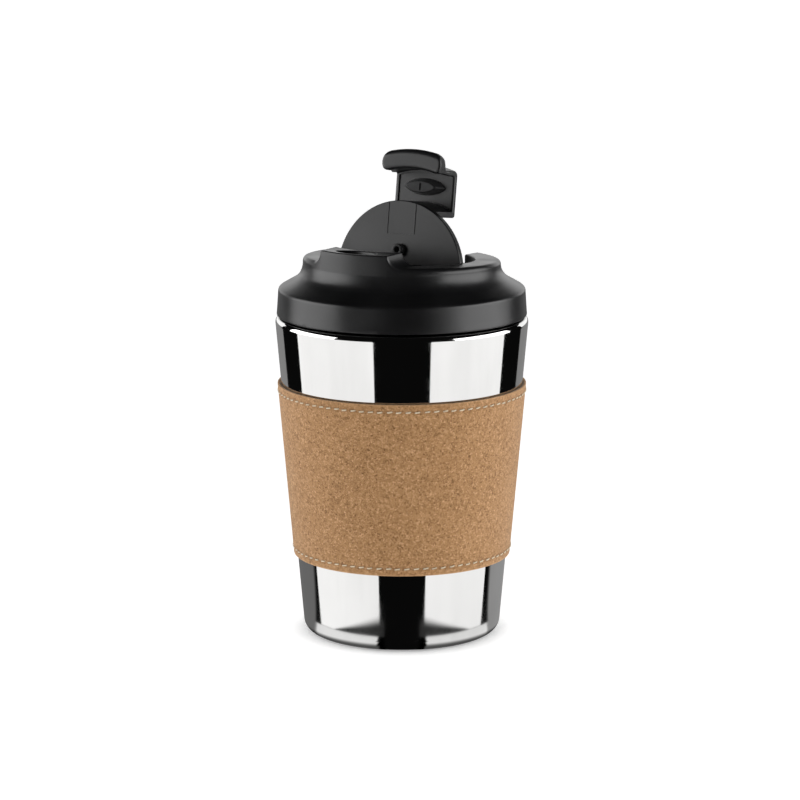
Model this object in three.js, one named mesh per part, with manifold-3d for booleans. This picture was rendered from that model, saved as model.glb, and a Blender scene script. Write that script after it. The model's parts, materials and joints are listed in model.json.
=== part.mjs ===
// A travel cup for hot drinks: a double-walled steel cup with a stitched cork sleeve and a
// screw-on plastic lid, whose drinking slot is closed by a flap on a hinge across the lid.
// Millimetres, +Z up. The origin is the centre of the foot, and the mouthpiece faces -Y.
import * as THREE from "three";
import { mergeVertices } from "three/addons/utils/BufferGeometryUtils.js";
import Module from "manifold-3d";

const wasm = await Module();
wasm.setup();

// ---------------------------------------------------------------- driving dimensions

const ROUND = 40; // sides of every large circle, so that nested rings keep even gaps
const SMALL_ROUND = 20; // sides of pins, holes and nubs
const REACH = 90; // half-length of the blocks that only cut, longer than anything they cut
const OVER = 1; // how far a cutter runs past the face it opens
const JOIN = 0.2; // how far shapes that become one run into each other

const CUP = {
  shoulderHeight: 116, // foot to the top of the tapered side
  shoulderRadius: 45.7,
  taper: 0.0891, // radius lost per millimetre of height
  shoulderRound: 2.2,
  wall: 0.7,
  footWidth: 6.36, // the side's foot to the inner edge of the ring it stands on
  footRound: 4.5,
  footEdgeRound: 0.4,
  footLip: 1.6, // height of the turned-in edge around the base plate
  neckStep: 4.9, // shoulder to neck, inwards
  neckHeight: 8.2, // shoulder to lip
  neckFootRound: 0.6,
};
const LINER = { wall: 0.7, weldGap: 0.3, floorHeight: 6.4, floorRound: 8, lipRound: 0.3 };
const BASE_PLATE = { thick: 0.8, gap: 0.1 };
const GETTER = { radius: 5, height: 1.6, gap: 0.1 };

const SLEEVE = {
  bottom: 28.9,
  height: 62.8,
  liningThick: 0.3,
  corkThick: 0.8,
  fitGap: 0.15, // over the steel
  layerGap: 0.1, // between lining, cork and thread
  seamWidth: 0.4, // the gap where the two ends of the strip meet at the back
  stitchInset: 2.7,
  threadWidth: 0.6,
  threadThick: 0.25,
};

const THREAD = {
  starts: 2,
  lead: 6,
  depth: 1.2,
  rootWidth: 1.3,
  crestWidth: 0.7,
  buried: 0.25, // share of its depth that is sunk in the wall it stands on
  runOut: 0.125, // share of its turn over which it grows at each end
  endShare: 0.1, // share of its height at the very end
  steps: 12,
};
const MALE_THREAD = { above: 2.6, below: 1.23 }; // clear of the shoulder and of the lip
const FEMALE_THREAD = { shorter: 0.12, clearance: 0.5 }; // turns less; clear of the neck

const LID = {
  skirtInset: 0.7, // inside the cup's shoulder
  skirtDraft: 0.6, // radius lost up the skirt
  skirtGap: 0.4, // between the skirt's edge and the cup's shoulder
  skirtClearance: 0.6, // to the crest of the cup's thread
  skirtDrop: 0.6, // the skirt's top below the underside of the lid
  rimInset: 9.5, // skirt to rim
  rimWidth: 9.15, // rim to recess
  rimSlope: 0.042, // the rim falls by this much per millimetre towards the back
  recessDepth: 8.3, // rim to recess floor, over the lid's axis
  flareSlope: 0.57,
  flareRound: 7,
  skirtRound: 1.5,
  skirtEdgeRound: 0.5,
  skirtInnerRound: 0.4,
  rimRound: 1.6,
  innerRound: 0.5,
  wall: 1.9,
  floorThick: 2,
  hollowInset: 0.6, // the hollow's mouth inside the inner plate's edge
  hollowDrop: 0.76, // the hollow's widest level over the foot of the rim
};
const MOUTH = { halfWidth: 13.7, rise: 5.7, run: 4.5, round: 0.6, innerRound: 0.4 };
const SLOT = { length: 16.4, width: 6.6, lowerShare: 0.86 };
const NOTCH = { clearance: 0.4, floor: 1.7 }; // its floor above the recess's

const GASKET = { thick: 2, skirtGap: 0.6, lipGap: 0.3, collarGap: 0.3, topGap: 0.1, round: 0.5 };
const PLATE = {
  thick: 1.4,
  gap: 0.1,
  collarWall: 1.6,
  collarDepth: 5.6,
  collarRound: 0.6,
  neckGap: 1.1, // to the liner's neck
};
const PORT = { endInset: 0.2, width: 5, round: 2 }; // its ends inside the slot's

const FLAP = {
  openAngle: 98, // how far it stands open, in degrees
  barrelRadius: 2.4,
  barrelGap: 0.5, // under the barrel
  barrelEndGap: 0.4, // the barrel's ends inside the disc's edge
  floorGap: 0.3, // under the disc when closed
  discClearance: 0.7, // to the recess wall
  hingeGap: 0.3, // the lower disc to the barrel
  plateThick: 1.2,
  shellThick: 1.4,
  layerGap: 0.1,
  wall: 1.8,
};
const TRUNNION = { step: 0.75, length: 3, clearance: 0.3, bossWall: 2.05 }; // step: in from the barrel
const TAB = {
  endInset: 1.4, // its ends inside the mouthpiece's
  lift: 0.7, // underside above the mouthpiece's top
  thick: 2.2,
  overhang: 5.15, // reaches in past the disc's edge
  cornerRound: 1.6,
  flange: 1.1,
  trayDepth: 0.6,
  trayWallGap: 0.3, // the tray's inner side outside the disc's edge
  trayWebGap: 0.8, // the tray's outer side inside the web
};
// The web that hangs from the tab outside the mouthpiece, and the finger ledge at its foot.
const HOOK = {
  gap: 1.7, // to the mouthpiece
  webThick: 2,
  ledgeReach: 5, // beyond the web
  ledgeThick: 4.2,
  drop: 11, // from the tab's underside to the ledge's
  round: 1.8,
  endRound: 2.2,
};
const PLUG = { endReach: 0.3, sideInset: 0.15, tipShare: 0.67, height: 3.8, gap: 0.1 };
const VENT = {
  offset: 8, // from the hinge
  radius: 2.2,
  bore: 1,
  boreEnd: 0.4, // left over the bore
  height: 2,
  round: 0.3,
  stemRadius: 1.4,
  stemGap: 0.1,
};
const VENT_HOLE = { shift: 0.4, clearance: 0.6, plateRadius: 1.6 };

// ---------------------------------------------------------------- sizes that follow

const sideRadius = (z) => CUP.shoulderRadius - (CUP.shoulderHeight - z) * CUP.taper;
const footRadius = sideRadius(0) - CUP.footWidth;
const neckRadius = CUP.shoulderRadius - CUP.neckStep;
const linerNeck = neckRadius - CUP.wall - LINER.weldGap; // outside of the liner's neck
const lipTop = CUP.shoulderHeight + CUP.neckHeight;
const threadCrest = neckRadius + THREAD.depth;
const threadStart = CUP.shoulderHeight + MALE_THREAD.above;
const threadClimb = lipTop - threadStart - THREAD.rootWidth / 2 - MALE_THREAD.below;
const threadTurn = threadClimb / THREAD.lead;

const skirtRadius = CUP.shoulderRadius - LID.skirtInset;
const skirtTopRadius = skirtRadius - LID.skirtDraft;
const skirtInside = threadCrest + LID.skirtClearance;
const rimRadius = skirtRadius - LID.rimInset;
const recessRadius = rimRadius - LID.rimWidth;
const slotRadius = (recessRadius + rimRadius) / 2; // the slot, the port and the plug
const collarRadius = linerNeck - LINER.wall - PLATE.neckGap;
const ceiling = lipTop + GASKET.lipGap + GASKET.thick + GASKET.topGap; // underside of the lid
const skirtEdge = CUP.shoulderHeight + LID.skirtGap;
const skirtTop = ceiling - LID.skirtDrop;
const flareFoot = skirtTop + (skirtTopRadius - rimRadius) * LID.flareSlope;
const recessFloor = ceiling + LID.floorThick;
const rimTop = recessFloor + LID.recessDepth;
const mouthTop = rimTop + MOUTH.rise;
const ventHoleAt = -VENT.offset - VENT_HOLE.shift;

const pivotHeight = FLAP.barrelRadius + FLAP.barrelGap; // above the recess floor
const pivotLevel = recessFloor + pivotHeight;
const pinRadius = FLAP.barrelRadius - TRUNNION.step;
const flapRadius = recessRadius - FLAP.discClearance;
const tabHalf = MOUTH.halfWidth - TAB.endInset;
const tabInner = flapRadius - TAB.overhang;

// ---------------------------------------------------------------- making and joining solids

function solid(geometry) {
  geometry.deleteAttribute("normal");
  geometry.deleteAttribute("uv");
  const merged = mergeVertices(geometry, 1e-4);
  const corners = merged.index.array;
  const kept = [];
  for (let i = 0; i < corners.length; i += 3) {
    const [a, b, c] = corners.slice(i, i + 3);
    if (a !== b && b !== c && c !== a) kept.push(a, b, c);
  }
  const build = (triVerts) =>
    new wasm.Manifold(
      new wasm.Mesh({
        numProp: 3,
        vertProperties: new Float32Array(merged.attributes.position.array),
        triVerts: new Uint32Array(triVerts),
      }),
    );
  const made = build(kept);
  return made.volume() > 0 ? made : build(kept.reverse());
}

function mesh(name, shape, material) {
  const { numProp, vertProperties, triVerts } = shape.getMesh();
  const positions = new Float32Array((vertProperties.length / numProp) * 3);
  for (let i = 0; i * numProp < vertProperties.length; i++) {
    positions.set(vertProperties.subarray(i * numProp, i * numProp + 3), i * 3);
  }
  const geometry = new THREE.BufferGeometry()
    .setAttribute("position", new THREE.BufferAttribute(positions, 3))
    .setIndex(new THREE.BufferAttribute(new Uint32Array(triVerts), 1));
  geometry.computeVertexNormals();
  const made = new THREE.Mesh(geometry, material);
  made.name = name;
  return made;
}

// Corners [x, y, radius] with each radius turned into an arc of a few points.
function rounded(corners, arcSteps = 2) {
  const points = [];
  corners.forEach(([x, y, radius = 0], i) => {
    const at = new THREE.Vector2(x, y);
    if (!radius) {
      points.push(at);
      return;
    }
    const count = corners.length;
    const before = new THREE.Vector2(...corners[(i + count - 1) % count].slice(0, 2));
    const after = new THREE.Vector2(...corners[(i + 1) % count].slice(0, 2));
    const back = before.sub(at).normalize();
    const on = after.sub(at).normalize();
    const half = Math.acos(THREE.MathUtils.clamp(back.dot(on), -1, 1)) / 2;
    const start = at.clone().addScaledVector(back, radius / Math.tan(half));
    const end = at.clone().addScaledVector(on, radius / Math.tan(half));
    const centre = at
      .clone()
      .addScaledVector(back.add(on).normalize(), radius / Math.sin(half));
    const from = start.clone().sub(centre).angle();
    let sweep = end.clone().sub(centre).angle() - from;
    if (sweep > Math.PI) sweep -= 2 * Math.PI;
    if (sweep < -Math.PI) sweep += 2 * Math.PI;
    for (let step = 0; step <= arcSteps; step++) {
      const angle = from + (sweep * step) / arcSteps;
      points.push(
        new THREE.Vector2(Math.cos(angle), Math.sin(angle)).multiplyScalar(radius).add(centre),
      );
    }
  });
  return points;
}

// The rim is level across the lid and falls from the mouthpiece to the back. The slant grows
// from nothing at the foot of the rim, and fades again up to the mouthpiece's level top.
function slanted(geometry) {
  const at = geometry.attributes.position;
  for (let i = 0; i < at.count; i++) {
    const z = at.getZ(i);
    const rising = (z - flareFoot) / (rimTop - flareFoot);
    const fading = (mouthTop - z) / (mouthTop - rimTop);
    const share = Math.max(0, Math.min(rising, fading));
    at.setZ(i, z - LID.rimSlope * at.getY(i) * share);
  }
  return geometry;
}

const unchanged = (geometry) => geometry;

// A closed outline of [radius, height] turned about +Z.
function turned(outline, sides = ROUND, shaped = unchanged) {
  const points = outline.concat([outline[0].clone()]);
  return solid(shaped(new THREE.LatheGeometry(points, sides).rotateX(Math.PI / 2)));
}

// An outline in x and y, extruded along +Z from one level to another.
function prism(points, from, to) {
  const shape = new THREE.Shape(points);
  const options = { depth: to - from, bevelEnabled: false };
  return solid(new THREE.ExtrudeGeometry(shape, options).translate(0, 0, from));
}

// An outline in x and z, extruded along +Y from one place to another.
function crossPrism(points, from, to, shaped = unchanged) {
  const shape = new THREE.Shape(points);
  const options = { depth: to - from, bevelEnabled: false };
  const geometry = new THREE.ExtrudeGeometry(shape, options).rotateX(Math.PI / 2);
  return solid(shaped(geometry.translate(0, to, 0)));
}

function box(low, high) {
  const size = high.map((value, i) => value - low[i]);
  const centre = high.map((value, i) => (value + low[i]) / 2);
  return solid(new THREE.BoxGeometry(...size).translate(...centre));
}

function upright(radius, from, to, x = 0, y = 0, sides = SMALL_ROUND) {
  const geometry = new THREE.CylinderGeometry(radius, radius, to - from, sides);
  return solid(geometry.rotateX(Math.PI / 2).translate(x, y, (from + to) / 2));
}

// A rod along X.
function crosswise(radius, from, to, y, z, sides = SMALL_ROUND) {
  const geometry = new THREE.CylinderGeometry(radius, radius, to - from, sides);
  return solid(geometry.rotateZ(Math.PI / 2).translate((from + to) / 2, y, z));
}

// Rings of the same number of points, joined in order and capped at both ends.
function loft(rings) {
  const positions = rings.flat().flatMap((p) => [p.x, p.y, p.z]);
  const sides = rings[0].length;
  const faces = [];
  for (let ring = 0; ring + 1 < rings.length; ring++) {
    for (let i = 0; i < sides; i++) {
      const a = ring * sides + i;
      const b = ring * sides + ((i + 1) % sides);
      faces.push(a, b, b + sides, a, b + sides, a + sides);
    }
  }
  const last = (rings.length - 1) * sides;
  for (let i = 1; i + 1 < sides; i++) {
    faces.push(0, i + 1, i, last, last + i, last + i + 1);
  }
  const geometry = new THREE.BufferGeometry()
    .setAttribute("position", new THREE.Float32BufferAttribute(positions, 3))
    .setIndex(faces);
  return solid(geometry);
}

// A pointed oval between two arcs, with softened tips.
function eye(length, width, arcSteps = 12) {
  const half = length / 2;
  const points = [];
  for (const side of [1, -1]) {
    for (let step = 0; step < arcSteps; step++) {
      const along = Math.cos((Math.PI * step) / arcSteps) * side;
      const across = Math.sin((Math.PI * step) / arcSteps) ** 1.35 * side;
      points.push(new THREE.Vector2(along * half, (across * width) / 2));
    }
  }
  return points;
}

function eyeTaper(length, width, share, from, to, y) {
  const ring = (scale, z) =>
    eye(length * scale, width * scale).map((p) => new THREE.Vector3(p.x, p.y + y, z));
  return loft([ring(share, from), ring(1, to)]);
}

// One ridge of a thread: a trapezium that climbs with the lead and runs out at both ends.
function ridge(baseRadius, crestRadius, startLevel, startAngle, turn) {
  const rings = [];
  const { steps, runOut, endShare } = THREAD;
  const sink = (baseRadius - crestRadius) * THREAD.buried;
  for (let step = 0; step <= steps; step++) {
    const share = step / steps;
    const angle = startAngle + share * turn * 2 * Math.PI;
    const level = startLevel + share * turn * THREAD.lead;
    const fromEnd = Math.min(share, 1 - share);
    const grown = Math.min(1, fromEnd / runOut + endShare);
    const crest = baseRadius + (crestRadius - baseRadius) * grown;
    const point = (radius, z) =>
      new THREE.Vector3(radius * Math.cos(angle), radius * Math.sin(angle), level + z);
    rings.push([
      point(baseRadius + sink, -THREAD.rootWidth / 2),
      point(crest, -THREAD.crestWidth / 2),
      point(crest, THREAD.crestWidth / 2),
      point(baseRadius + sink, THREAD.rootWidth / 2),
    ]);
  }
  return loft(rings);
}

function ridges(baseRadius, crestRadius, startLevel, offsetAngle, turn) {
  return Array.from({ length: THREAD.starts }, (_, i) =>
    ridge(
      baseRadius,
      crestRadius,
      startLevel,
      offsetAngle + (i * 2 * Math.PI) / THREAD.starts,
      turn,
    ),
  );
}

const joined = (shapes) => shapes.reduce((all, shape) => all.add(shape));

// ---------------------------------------------------------------- finishes

const finish = (color, roughness, metalness) =>
  new THREE.MeshStandardMaterial({ color, roughness, metalness });
const POLISHED_STEEL = finish(0xd9d8d5, 0.08, 1);
const SATIN_STEEL = finish(0xb4b3b0, 0.35, 1);
const BLACK_PLASTIC = finish(0x1b1b1c, 0.45, 0);
const BLACK_SILICONE = finish(0x161616, 0.7, 0);
const CORK = finish(0xa57d55, 0.85, 0);
const BACKING_CLOTH = finish(0x8a6f50, 0.95, 0);
const THREAD_CREAM = finish(0xe9dcc0, 0.8, 0);

// ---------------------------------------------------------------- the cup

function outerShell() {
  const { wall, footRound, footLip, shoulderHeight } = CUP;
  const neckInside = neckRadius - wall;
  const outline = rounded([
    [footRadius, footLip],
    [footRadius, 0, CUP.footEdgeRound],
    [sideRadius(0), 0, footRound],
    [sideRadius(shoulderHeight), shoulderHeight, CUP.shoulderRound],
    [neckRadius, shoulderHeight, CUP.neckFootRound],
    [neckRadius, lipTop - LINER.weldGap - LINER.wall],
    [neckInside, lipTop - LINER.weldGap - LINER.wall],
    [neckInside, shoulderHeight - wall],
    [sideRadius(shoulderHeight) - wall, shoulderHeight - wall, CUP.shoulderRound - wall],
    [sideRadius(0) - wall, wall, footRound - wall],
    [footRadius + wall, wall],
    [footRadius + wall, footLip],
  ]);
  const thread = ridges(neckRadius, threadCrest, threadStart, 0, threadTurn);
  return joined([turned(outline), ...thread]);
}

function innerLiner() {
  const inside = linerNeck - LINER.wall;
  const { wall, floorHeight, floorRound, lipRound } = LINER;
  const drop = CUP.shoulderHeight - floorHeight;
  const floorRadius = linerNeck - drop * CUP.taper;
  return turned(
    rounded([
      [0, floorHeight],
      [floorRadius, floorHeight, floorRound],
      [linerNeck, CUP.shoulderHeight],
      [linerNeck, lipTop - wall],
      [neckRadius, lipTop - wall],
      [neckRadius, lipTop, lipRound],
      [inside, lipTop, lipRound],
      [inside, CUP.shoulderHeight],
      [floorRadius - wall, floorHeight + wall, floorRound - wall],
      [0, floorHeight + wall],
    ]),
  );
}

function basePlate() {
  const edge = footRadius - BASE_PLATE.gap;
  const top = CUP.footLip;
  return turned(
    rounded([
      [0, top - BASE_PLATE.thick],
      [edge, top - BASE_PLATE.thick],
      [edge, top],
      [0, top],
    ]),
  );
}

function getter() {
  const bottom = CUP.footLip + GETTER.gap;
  return upright(GETTER.radius, bottom, bottom + GETTER.height);
}

// ---------------------------------------------------------------- the sleeve

// A band that follows the cup's taper, from one distance over the steel to another.
function band(from, to, low, high) {
  const outline = [
    [sideRadius(low) + from, low],
    [sideRadius(low) + to, low],
    [sideRadius(high) + to, high],
    [sideRadius(high) + from, high],
  ];
  return turned(outline.map((p) => new THREE.Vector2(...p)));
}

const sleeveTop = SLEEVE.bottom + SLEEVE.height;
const liningOut = SLEEVE.fitGap + SLEEVE.liningThick;
const corkIn = liningOut + SLEEVE.layerGap;
const corkOut = corkIn + SLEEVE.corkThick;

function seamCut() {
  const half = SLEEVE.seamWidth / 2;
  return box([-half, 0, -OVER], [half, REACH, lipTop]);
}

function corkSleeve() {
  return band(corkIn, corkOut, SLEEVE.bottom, sleeveTop).subtract(seamCut());
}

function sleeveLining() {
  return band(SLEEVE.fitGap, liningOut, SLEEVE.bottom, sleeveTop);
}

function stitchRow(level) {
  const half = SLEEVE.threadWidth / 2;
  const from = corkOut + SLEEVE.layerGap;
  return band(from, from + SLEEVE.threadThick, level - half, level + half);
}

// ---------------------------------------------------------------- the lid

function lidOutline() {
  const { wall } = LID;
  const hollowIn = recessRadius + wall;
  const hollowOut = rimRadius - wall;
  return {
    body: rounded([
      [0, ceiling],
      [skirtInside, ceiling, LID.skirtInnerRound],
      [skirtInside, skirtEdge],
      [skirtRadius, skirtEdge, LID.skirtEdgeRound],
      [skirtTopRadius, skirtTop, LID.skirtRound],
      [rimRadius, flareFoot, LID.flareRound],
      [rimRadius, rimTop, LID.rimRound],
      [recessRadius, rimTop, LID.innerRound],
      [recessRadius, recessFloor],
      [0, recessFloor],
    ], 3),
    hollow: rounded([
      [hollowIn, ceiling - OVER],
      [collarRadius - LID.hollowInset, ceiling - OVER],
      [collarRadius - LID.hollowInset, ceiling],
      [hollowOut, flareFoot + LID.hollowDrop],
      [hollowOut, rimTop - wall],
      [hollowIn, rimTop - wall],
    ]),
    raised: rounded([
      [recessRadius, recessFloor],
      [rimRadius, recessFloor],
      [rimRadius, mouthTop, MOUTH.round],
      [recessRadius, mouthTop, MOUTH.innerRound],
    ]),
    raisedHollow: rounded([
      [hollowIn, rimTop - wall - OVER],
      [hollowOut, rimTop - wall - OVER],
      [hollowOut, mouthTop - wall],
      [hollowIn, mouthTop - wall],
    ]),
  };
}

// The mouthpiece seen from the front: a raised top that sweeps down to the rim at both ends.
function mouthOutline() {
  const path = new THREE.Path();
  const { halfWidth, run, rise } = MOUTH;
  path.moveTo(-halfWidth - run, recessFloor);
  path.lineTo(halfWidth + run, recessFloor);
  path.lineTo(halfWidth + run, rimTop);
  path.absellipse(halfWidth + run, mouthTop, run, rise, 1.5 * Math.PI, Math.PI, true);
  path.lineTo(-halfWidth, mouthTop);
  path.absellipse(-halfWidth - run, mouthTop, run, rise, 2 * Math.PI, 1.5 * Math.PI, true);
  return path.getPoints(5);
}

function notchBlock() {
  const half = tabHalf + NOTCH.clearance;
  const floor = recessFloor + NOTCH.floor;
  const inner = Math.sqrt(recessRadius ** 2 - half ** 2) - OVER;
  return box([-half, inner, floor], [half, REACH, mouthTop + OVER]);
}

function lidBody() {
  const outline = lidOutline();
  const mouth = turned(outline.raised, ROUND, slanted).intersect(
    crossPrism(mouthOutline(), -REACH, 0, slanted),
  );
  const sides = tabHalf + NOTCH.clearance + LID.wall;
  const behindNotch = box([-sides, 0, ceiling - 2 * OVER], [sides, REACH, mouthTop]);
  const bossRadius = pinRadius + TRUNNION.clearance + TRUNNION.bossWall;
  const bosses = joined([
    crosswise(bossRadius, recessRadius + JOIN, rimRadius - JOIN, 0, pivotLevel),
    crosswise(bossRadius, JOIN - rimRadius, -recessRadius - JOIN, 0, pivotLevel),
  ]);
  const hollow = turned(outline.hollow, ROUND, slanted)
    .subtract(behindNotch)
    .subtract(bosses);
  const half = MOUTH.halfWidth - LID.wall;
  const raisedHollow = turned(outline.raisedHollow).intersect(
    box([-half, -REACH, ceiling], [half, 0, mouthTop]),
  );
  const reach = recessRadius + TRUNNION.length + TRUNNION.clearance;
  const socket = crosswise(
    pinRadius + TRUNNION.clearance,
    -reach,
    reach,
    0,
    pivotLevel,
  );
  const slot = eyeTaper(
    SLOT.length,
    SLOT.width,
    SLOT.lowerShare,
    mouthTop - LID.wall - OVER,
    mouthTop + JOIN,
    -slotRadius,
  );
  const ventRadius = VENT.radius + VENT_HOLE.clearance;
  const vent = upright(ventRadius, ceiling - OVER, recessFloor + OVER, 0, ventHoleAt);
  const thread = ridges(
    skirtInside,
    neckRadius + FEMALE_THREAD.clearance,
    threadStart,
    Math.PI / THREAD.starts,
    threadTurn - FEMALE_THREAD.shorter,
  );
  return joined([turned(outline.body, ROUND, slanted), mouth, ...thread])
    .subtract(hollow)
    .subtract(raisedHollow)
    .subtract(notchBlock())
    .subtract(socket)
    .subtract(slot)
    .subtract(vent);
}

function innerPlate() {
  const top = ceiling - PLATE.gap;
  const under = top - PLATE.thick;
  const collarIn = collarRadius - PLATE.collarWall;
  const disc = turned(
    rounded([
      [0, under],
      [collarIn, under, PLATE.collarRound],
      [collarIn, under - PLATE.collarDepth],
      [collarRadius, under - PLATE.collarDepth],
      [collarRadius, top],
      [0, top],
    ]),
  );
  const half = SLOT.length / 2 - PORT.endInset;
  const outer = -slotRadius - PORT.width / 2;
  const inner = -slotRadius + PORT.width / 2;
  const corners = [
    [-half, outer, PORT.round],
    [half, outer, PORT.round],
    [half, inner, PORT.round],
    [-half, inner, PORT.round],
  ];
  const port = prism(rounded(corners), under - OVER, top + OVER);
  const vent = upright(VENT_HOLE.plateRadius, under - OVER, top + OVER, 0, ventHoleAt);
  return disc.subtract(port).subtract(vent);
}

function lidGasket() {
  const inner = collarRadius + GASKET.collarGap;
  const outer = skirtInside - GASKET.skirtGap;
  const bottom = lipTop + GASKET.lipGap;
  return turned(
    rounded([
      [inner, bottom, GASKET.round],
      [outer, bottom, GASKET.round],
      [outer, bottom + GASKET.thick],
      [inner, bottom + GASKET.thick],
    ], 1),
  );
}

// ---------------------------------------------------------------- the flap
// Modelled closed, with the hinge axis at the origin, and turned open as one group.

const discUnder = FLAP.floorGap - pivotHeight;
const plateTop = discUnder + FLAP.plateThick;
const shellUnder = plateTop + FLAP.layerGap;
const shellTop = shellUnder + FLAP.shellThick;
const tabUnder = mouthTop + TAB.lift - pivotLevel;
const tabTop = tabUnder + TAB.thick;
const trayFloor = tabUnder + TAB.trayDepth;
const webIn = rimRadius + HOOK.gap;
const webOut = webIn + HOOK.webThick;
const ledgeOut = webOut + HOOK.ledgeReach;

// The half of the lid on the mouthpiece's side of a line across it.
function frontHalf(from) {
  return box([-REACH, -REACH, -REACH], [REACH, -from, REACH]);
}

function disc(low, high) {
  return upright(flapRadius, low, high, 0, 0, ROUND);
}

function sectionRing(corners) {
  return turned(rounded(corners));
}

// A rectangle in front of the hinge, seen from above, with round corners.
function plan(halfWidth, inner, outer) {
  return rounded([
    [-halfWidth, -outer, TAB.cornerRound],
    [halfWidth, -outer, TAB.cornerRound],
    [halfWidth, -inner, TAB.cornerRound],
    [-halfWidth, -inner, TAB.cornerRound],
  ]);
}

function flapShell() {
  const half = flapRadius - FLAP.barrelEndGap;
  const barrel = crosswise(FLAP.barrelRadius, -half, half, 0, 0);
  const pin = recessRadius + TRUNNION.length;
  const pins = crosswise(pinRadius, -pin, pin, 0, 0);
  const plate = disc(shellUnder, shellTop).intersect(frontHalf(0));
  const wallBlock = box([-tabHalf, -REACH, -REACH], [tabHalf, 0, REACH]);
  const wall = sectionRing([
    [flapRadius - FLAP.wall, shellUnder],
    [flapRadius, shellUnder],
    [flapRadius, tabUnder + JOIN],
    [flapRadius - FLAP.wall, tabUnder + JOIN],
  ]).intersect(wallBlock);
  const ledgeUnder = tabUnder - HOOK.drop;
  const ledgeTop = ledgeUnder + HOOK.ledgeThick;
  const innermost = Math.sqrt(Math.max(0, tabInner ** 2 - tabHalf ** 2)) - OVER;
  const overRim = sectionRing([
    [innermost, tabUnder],
    [webIn, tabUnder],
    [webIn, ledgeUnder, HOOK.round],
    [ledgeOut, ledgeUnder, HOOK.round],
    [ledgeOut, ledgeTop, HOOK.round],
    [webOut, ledgeTop, HOOK.round],
    [webOut, tabTop, HOOK.round],
    [innermost, tabTop],
  ]);
  const tabPlan = plan(tabHalf, tabInner, ledgeOut + HOOK.endRound);
  const tab = overRim.intersect(prism(tabPlan, ledgeUnder - OVER, tabTop + OVER));
  const trayIn = flapRadius + TAB.trayWallGap;
  const trayPlan = plan(tabHalf - TAB.flange, trayIn, webIn - TAB.trayWebGap);
  const tray = prism(trayPlan, tabUnder - OVER, trayFloor);
  return joined([barrel, pins, plate, wall, tab]).subtract(tray);
}

function flapPlate() {
  const start = FLAP.barrelRadius + FLAP.hingeGap;
  const hole = upright(VENT.stemRadius + VENT.stemGap, -REACH, REACH, 0, -VENT.offset);
  return disc(discUnder, plateTop).intersect(frontHalf(start)).subtract(hole);
}

function drinkPlug() {
  const base = trayFloor - PLUG.gap;
  return eyeTaper(
    SLOT.length + 2 * PLUG.endReach,
    SLOT.width - 2 * PLUG.sideInset,
    PLUG.tipShare,
    base - PLUG.height,
    base,
    -slotRadius,
  );
}

function ventPlug() {
  const base = discUnder - VENT.stemGap;
  const tip = base - VENT.height;
  const shape = turned(
    rounded([
      [0, base - VENT.boreEnd],
      [VENT.bore, base - VENT.boreEnd],
      [VENT.bore, tip],
      [VENT.radius, tip, VENT.round],
      [VENT.radius, base],
      [VENT.stemRadius, base],
      [VENT.stemRadius, plateTop],
      [0, plateTop],
    ]),
    SMALL_ROUND,
  );
  return shape.translate([0, -VENT.offset, 0]);
}

// ---------------------------------------------------------------- the assembly

const flap = new THREE.Group();
flap.add(
  mesh("flap_shell", flapShell(), BLACK_PLASTIC),
  mesh("flap_plate", flapPlate(), BLACK_PLASTIC),
  mesh("drink_plug", drinkPlug(), BLACK_SILICONE),
  mesh("vent_plug", ventPlug(), BLACK_SILICONE),
);
flap.position.z = pivotLevel;
flap.rotation.x = -THREE.MathUtils.degToRad(FLAP.openAngle);

const cup = new THREE.Group();
cup.add(
  mesh("outer_shell", outerShell(), POLISHED_STEEL),
  mesh("inner_liner", innerLiner(), SATIN_STEEL),
  mesh("base_plate", basePlate(), POLISHED_STEEL),
  mesh("getter", getter(), SATIN_STEEL),
);

const sleeve = new THREE.Group();
sleeve.add(
  mesh("cork_sleeve", corkSleeve(), CORK),
  mesh("sleeve_lining", sleeveLining(), BACKING_CLOTH),
  mesh("stitch_row_upper", stitchRow(sleeveTop - SLEEVE.stitchInset), THREAD_CREAM),
  mesh("stitch_row_lower", stitchRow(SLEEVE.bottom + SLEEVE.stitchInset), THREAD_CREAM),
);

const lid = new THREE.Group();
lid.add(
  mesh("lid_body", lidBody(), BLACK_PLASTIC),
  mesh("lid_inner_plate", innerPlate(), BLACK_PLASTIC),
  mesh("lid_gasket", lidGasket(), BLACK_SILICONE),
  flap,
);

const travelCup = new THREE.Group();
travelCup.add(cup, sleeve, lid);

export default travelCup;
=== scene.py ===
"""Visual model of a travel cup with a stitched cork sleeve and a screw-on lid with a flap."""

import json
import math

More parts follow.
